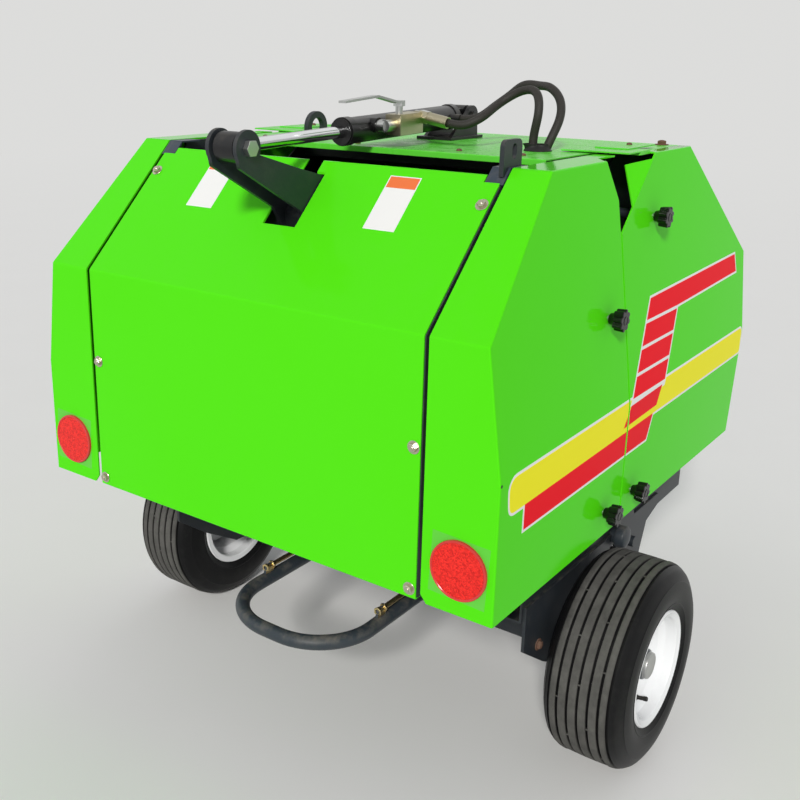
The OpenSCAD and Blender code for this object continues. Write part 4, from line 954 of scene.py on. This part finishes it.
# Knobs and reflectors
# Black star knobs of hard plastic hold the covers on their studs. Round red reflectors are glued on the gate's
# covers, with small moulded prisms under a clear face.
KNOBS = (("frame_knobs", "root", ((630, 1037), (525, 537))), ("gate_knobs", "gate", ((406, 889), (400, 535))))
knob_plastic = coated("knob_plastic", (0.005, 0.005, 0.005), 0.14, dust=0.02, depth=0.00002, shine=0.28)
LOBES, KNOB_R, LOBE_OUT, LOBE_WAVE, KNOB_MIDDLE, KNOB_FOOT = 8, 0.0183, 0.0023, 0.0005, 0.022, 0.93


def star_knob():
    """Eight-lobed knob 41 mm across that narrows to its foot, with a sleeve down to its seat on the stud."""
    bpy.ops.object.select_all(action="DESELECT")
    bpy.ops.mesh.primitive_cylinder_add(vertices=96, radius=0.0165, depth=0.018, location=(0, 0, KNOB_MIDDLE))
    knob = bpy.context.object
    bpy.ops.object.transform_apply(location=True, rotation=True, scale=True)
    for v in knob.data.vertices:
        a = atan2(v.co.y, v.co.x)
        lobe = KNOB_R + LOBE_OUT * cos(LOBES * a) - LOBE_WAVE * cos(2 * LOBES * a)
        lobe *= 1.0 if v.co.z > KNOB_MIDDLE else KNOB_FOOT
        v.co.x, v.co.y = lobe * cos(a), lobe * sin(a)
    bpy.ops.object.mode_set(mode="EDIT")
    pick_edges(knob, lambda e: e.calc_face_angle(0) > radians(60))
    bpy.ops.mesh.bevel(offset=0.003, segments=5, clamp_overlap=True)
    bpy.ops.object.mode_set(mode="OBJECT")
    neck = turned("neck", [(0, 3), (9, 3), (9.8, 3.8), (11, 9), (14.5, 13.5), (0, 13.5)], 40)
    dish = turned("dish", [(0, 30.5), (7.5, 30.5), (8.2, 31.4), (7.4, 31.8), (6.8, 31.2), (0, 31.2)], 40)
    return joined("knob", [knob, neck, dish])


for node, body, places in KNOBS:
    seats = [((x, hand * (HALF - max(0.0, z - FOLD) * LEAN), z), (0, hand, 0), 0.3 + x / 50)
             for x, z in places for hand in (1, -1)]
    knobs = fixed_to(body, node + "_stars", copies(star_knob(), seats), knob_plastic, 40)
    stud = turned("stud", [(0, -26), (5, -26), (5, 5), (0, 5)], 24)
    studs = fixed_to(body, node + "_studs", copies(stud, seats), bright_zinc)
    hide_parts(node)
    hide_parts(node)

red_lens, tree, shader, coords = new_finish("red_lens", (0.75, 0.012, 0.008), 0.3)
shader.inputs["Specular IOR Level"].default_value = 0.3
# The lens's cells run at random from deep to pale red: painted glints of its prisms
cells = wired(tree, "ShaderNodeTexVoronoi", Vector=coords, Scale=420.0, Randomness=0.75)
cells.feature = "F1"
shade = wired(tree, "ShaderNodeMapRange", Value=cells.outputs["Color"], To_Min=0.0, To_Max=1.0)
DIM_PRISM_RED, GLINT_RED = (0.5, 0.004, 0.003, 1), (1.0, 0.03, 0.02, 1)
tree.links.new(blended(tree, shade.outputs[0], DIM_PRISM_RED, GLINT_RED), shader.inputs["Base Color"])
bump = wired(tree, "ShaderNodeBump", Strength=0.4, Distance=0.0004, Height=cells.outputs["Distance"])
tree.links.new(bump.outputs["Normal"], shader.inputs["Normal"])
red_rim = coated("red_rim", (0.62, 0.01, 0.008), 0.2, dust=0.05)
lens = [(0, 5.4), (2, 5.4), (2.8, 4.6), (45.5, 4.6), (46, 4), (46, 0.2), (0, 0.2)]
band = [(45.8, 0), (50, 0), (50, 4.4), (49, 5.8), (47, 5.8), (45.8, 4.8)]
clear_film = coated("clear_film", (0.09, 0.6, 0.02), 0.3, dust=0.1, shine=0.2)
LENS_Y, LENS_Z = 452, 565
for hand, hand_name in HANDS:
    a, b = LENS_Y * hand, LENS_Z
    square = [(b - 55, a - 47), (b - 50, a + 54), (b + 55, a + 49), (b + 50, a - 53)]
    backing = film(square, 0.15, lambda up, across, lift: spot(-lift, across, up), depth=0.15)
    fixed_to("gate", "reflector_film_" + hand_name, [backing], clear_film)
    for name, profile, finish_of in (("reflector_lens_", lens, red_lens), ("reflector_rim_", band, red_rim)):
        piece = placed(turned(name + hand_name, profile, 72), (0, a, b), (-1, 0, 0))
        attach(smooth(piece, finish_of), "gate")
        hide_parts("reflectors")

# Floor and lamps
# A plain pale floor that fades into the backdrop, a low key lamp from the rear right as in the photograph, weak
# fills, and a pale sky.
PALE = (0.72, 0.72, 0.71, 1)


def mixed(tree, factor, a, b):
    """Shader a, turning into shader b by the factor."""
    node = tree.nodes.new("ShaderNodeMixShader")
    for socket, value in zip(node.inputs, (factor, a, b)):
        tree.links.new(value, socket)
    return node.outputs[0]


bpy.ops.object.select_all(action="DESELECT")
bpy.ops.mesh.primitive_plane_add(size=400, location=(0, 0, -0.0005))
floor = bpy.context.object
floor.name = "floor"
floor_paint, tree, shader, coords = new_finish("floor_paint", (0.85, 0.845, 0.83), 0.95)
shader.inputs["Specular IOR Level"].default_value = 0.1
grain = wired(tree, "ShaderNodeTexNoise", Vector=coords, Scale=3.0, Detail=5.0)
tree.links.new(blended(tree, grain.outputs["Fac"], (0.84, 0.835, 0.82, 1), (0.865, 0.86, 0.845, 1)),
               shader.inputs["Base Color"])
away = vector_maths(tree, "LENGTH", coords)
veil = wired(tree, "ShaderNodeMapRange", Value=away.outputs["Value"], From_Min=2.0, From_Max=12.0)
haze = wired(tree, "ShaderNodeEmission", Color=PALE)
tree.links.new(mixed(tree, veil.outputs[0], shader.outputs[0], haze.outputs[0]),
               tree.nodes["Material Output"].inputs["Surface"])
floor.data.materials.append(floor_paint)


def sun(name, towards, power, width, colour=(1, 1, 1)):
    """A soft distant lamp that shines towards a direction."""
    light = bpy.data.lights.new(name, "SUN")
    light.energy, light.angle, light.color = power, radians(width), colour
    obj = bpy.data.objects.new(name, light)
    bpy.context.scene.collection.objects.link(obj)
    obj.rotation_euler = Vector(towards).to_track_quat("-Z", "Y").to_euler()


sun("key", (0.786, 0.351, -0.512), 2.45, 9, (1, 0.985, 0.96))
sun("fill", (0.3, -0.9, -0.3), 0.3, 60, (0.97, 0.98, 1))
sun("front", (-0.9, 0.1, -0.5), 0.4, 60)
world = bpy.data.worlds.new("studio")
bpy.context.scene.world = world
world.use_nodes = True
wt = world.node_tree
seen = wt.nodes.new("ShaderNodeLightPath")
sky = wt.nodes["Background"]
sky.inputs["Color"].default_value = (0.93, 0.96, 1, 1)
sky.inputs["Strength"].default_value = 0.34
plain = wired(wt, "ShaderNodeBackground", Color=PALE, Strength=1.0)
bright = maths(wt, "MAXIMUM", maths(wt, "MAXIMUM", seen.outputs["Is Camera Ray"], seen.outputs["Is Glossy Ray"]),
               seen.outputs["Is Transmission Ray"])
wt.links.new(mixed(wt, bright, sky.outputs[0], plain.outputs[0]), wt.nodes["World Output"].inputs["Surface"])

bpy.context.scene.view_settings.view_transform = "Standard"
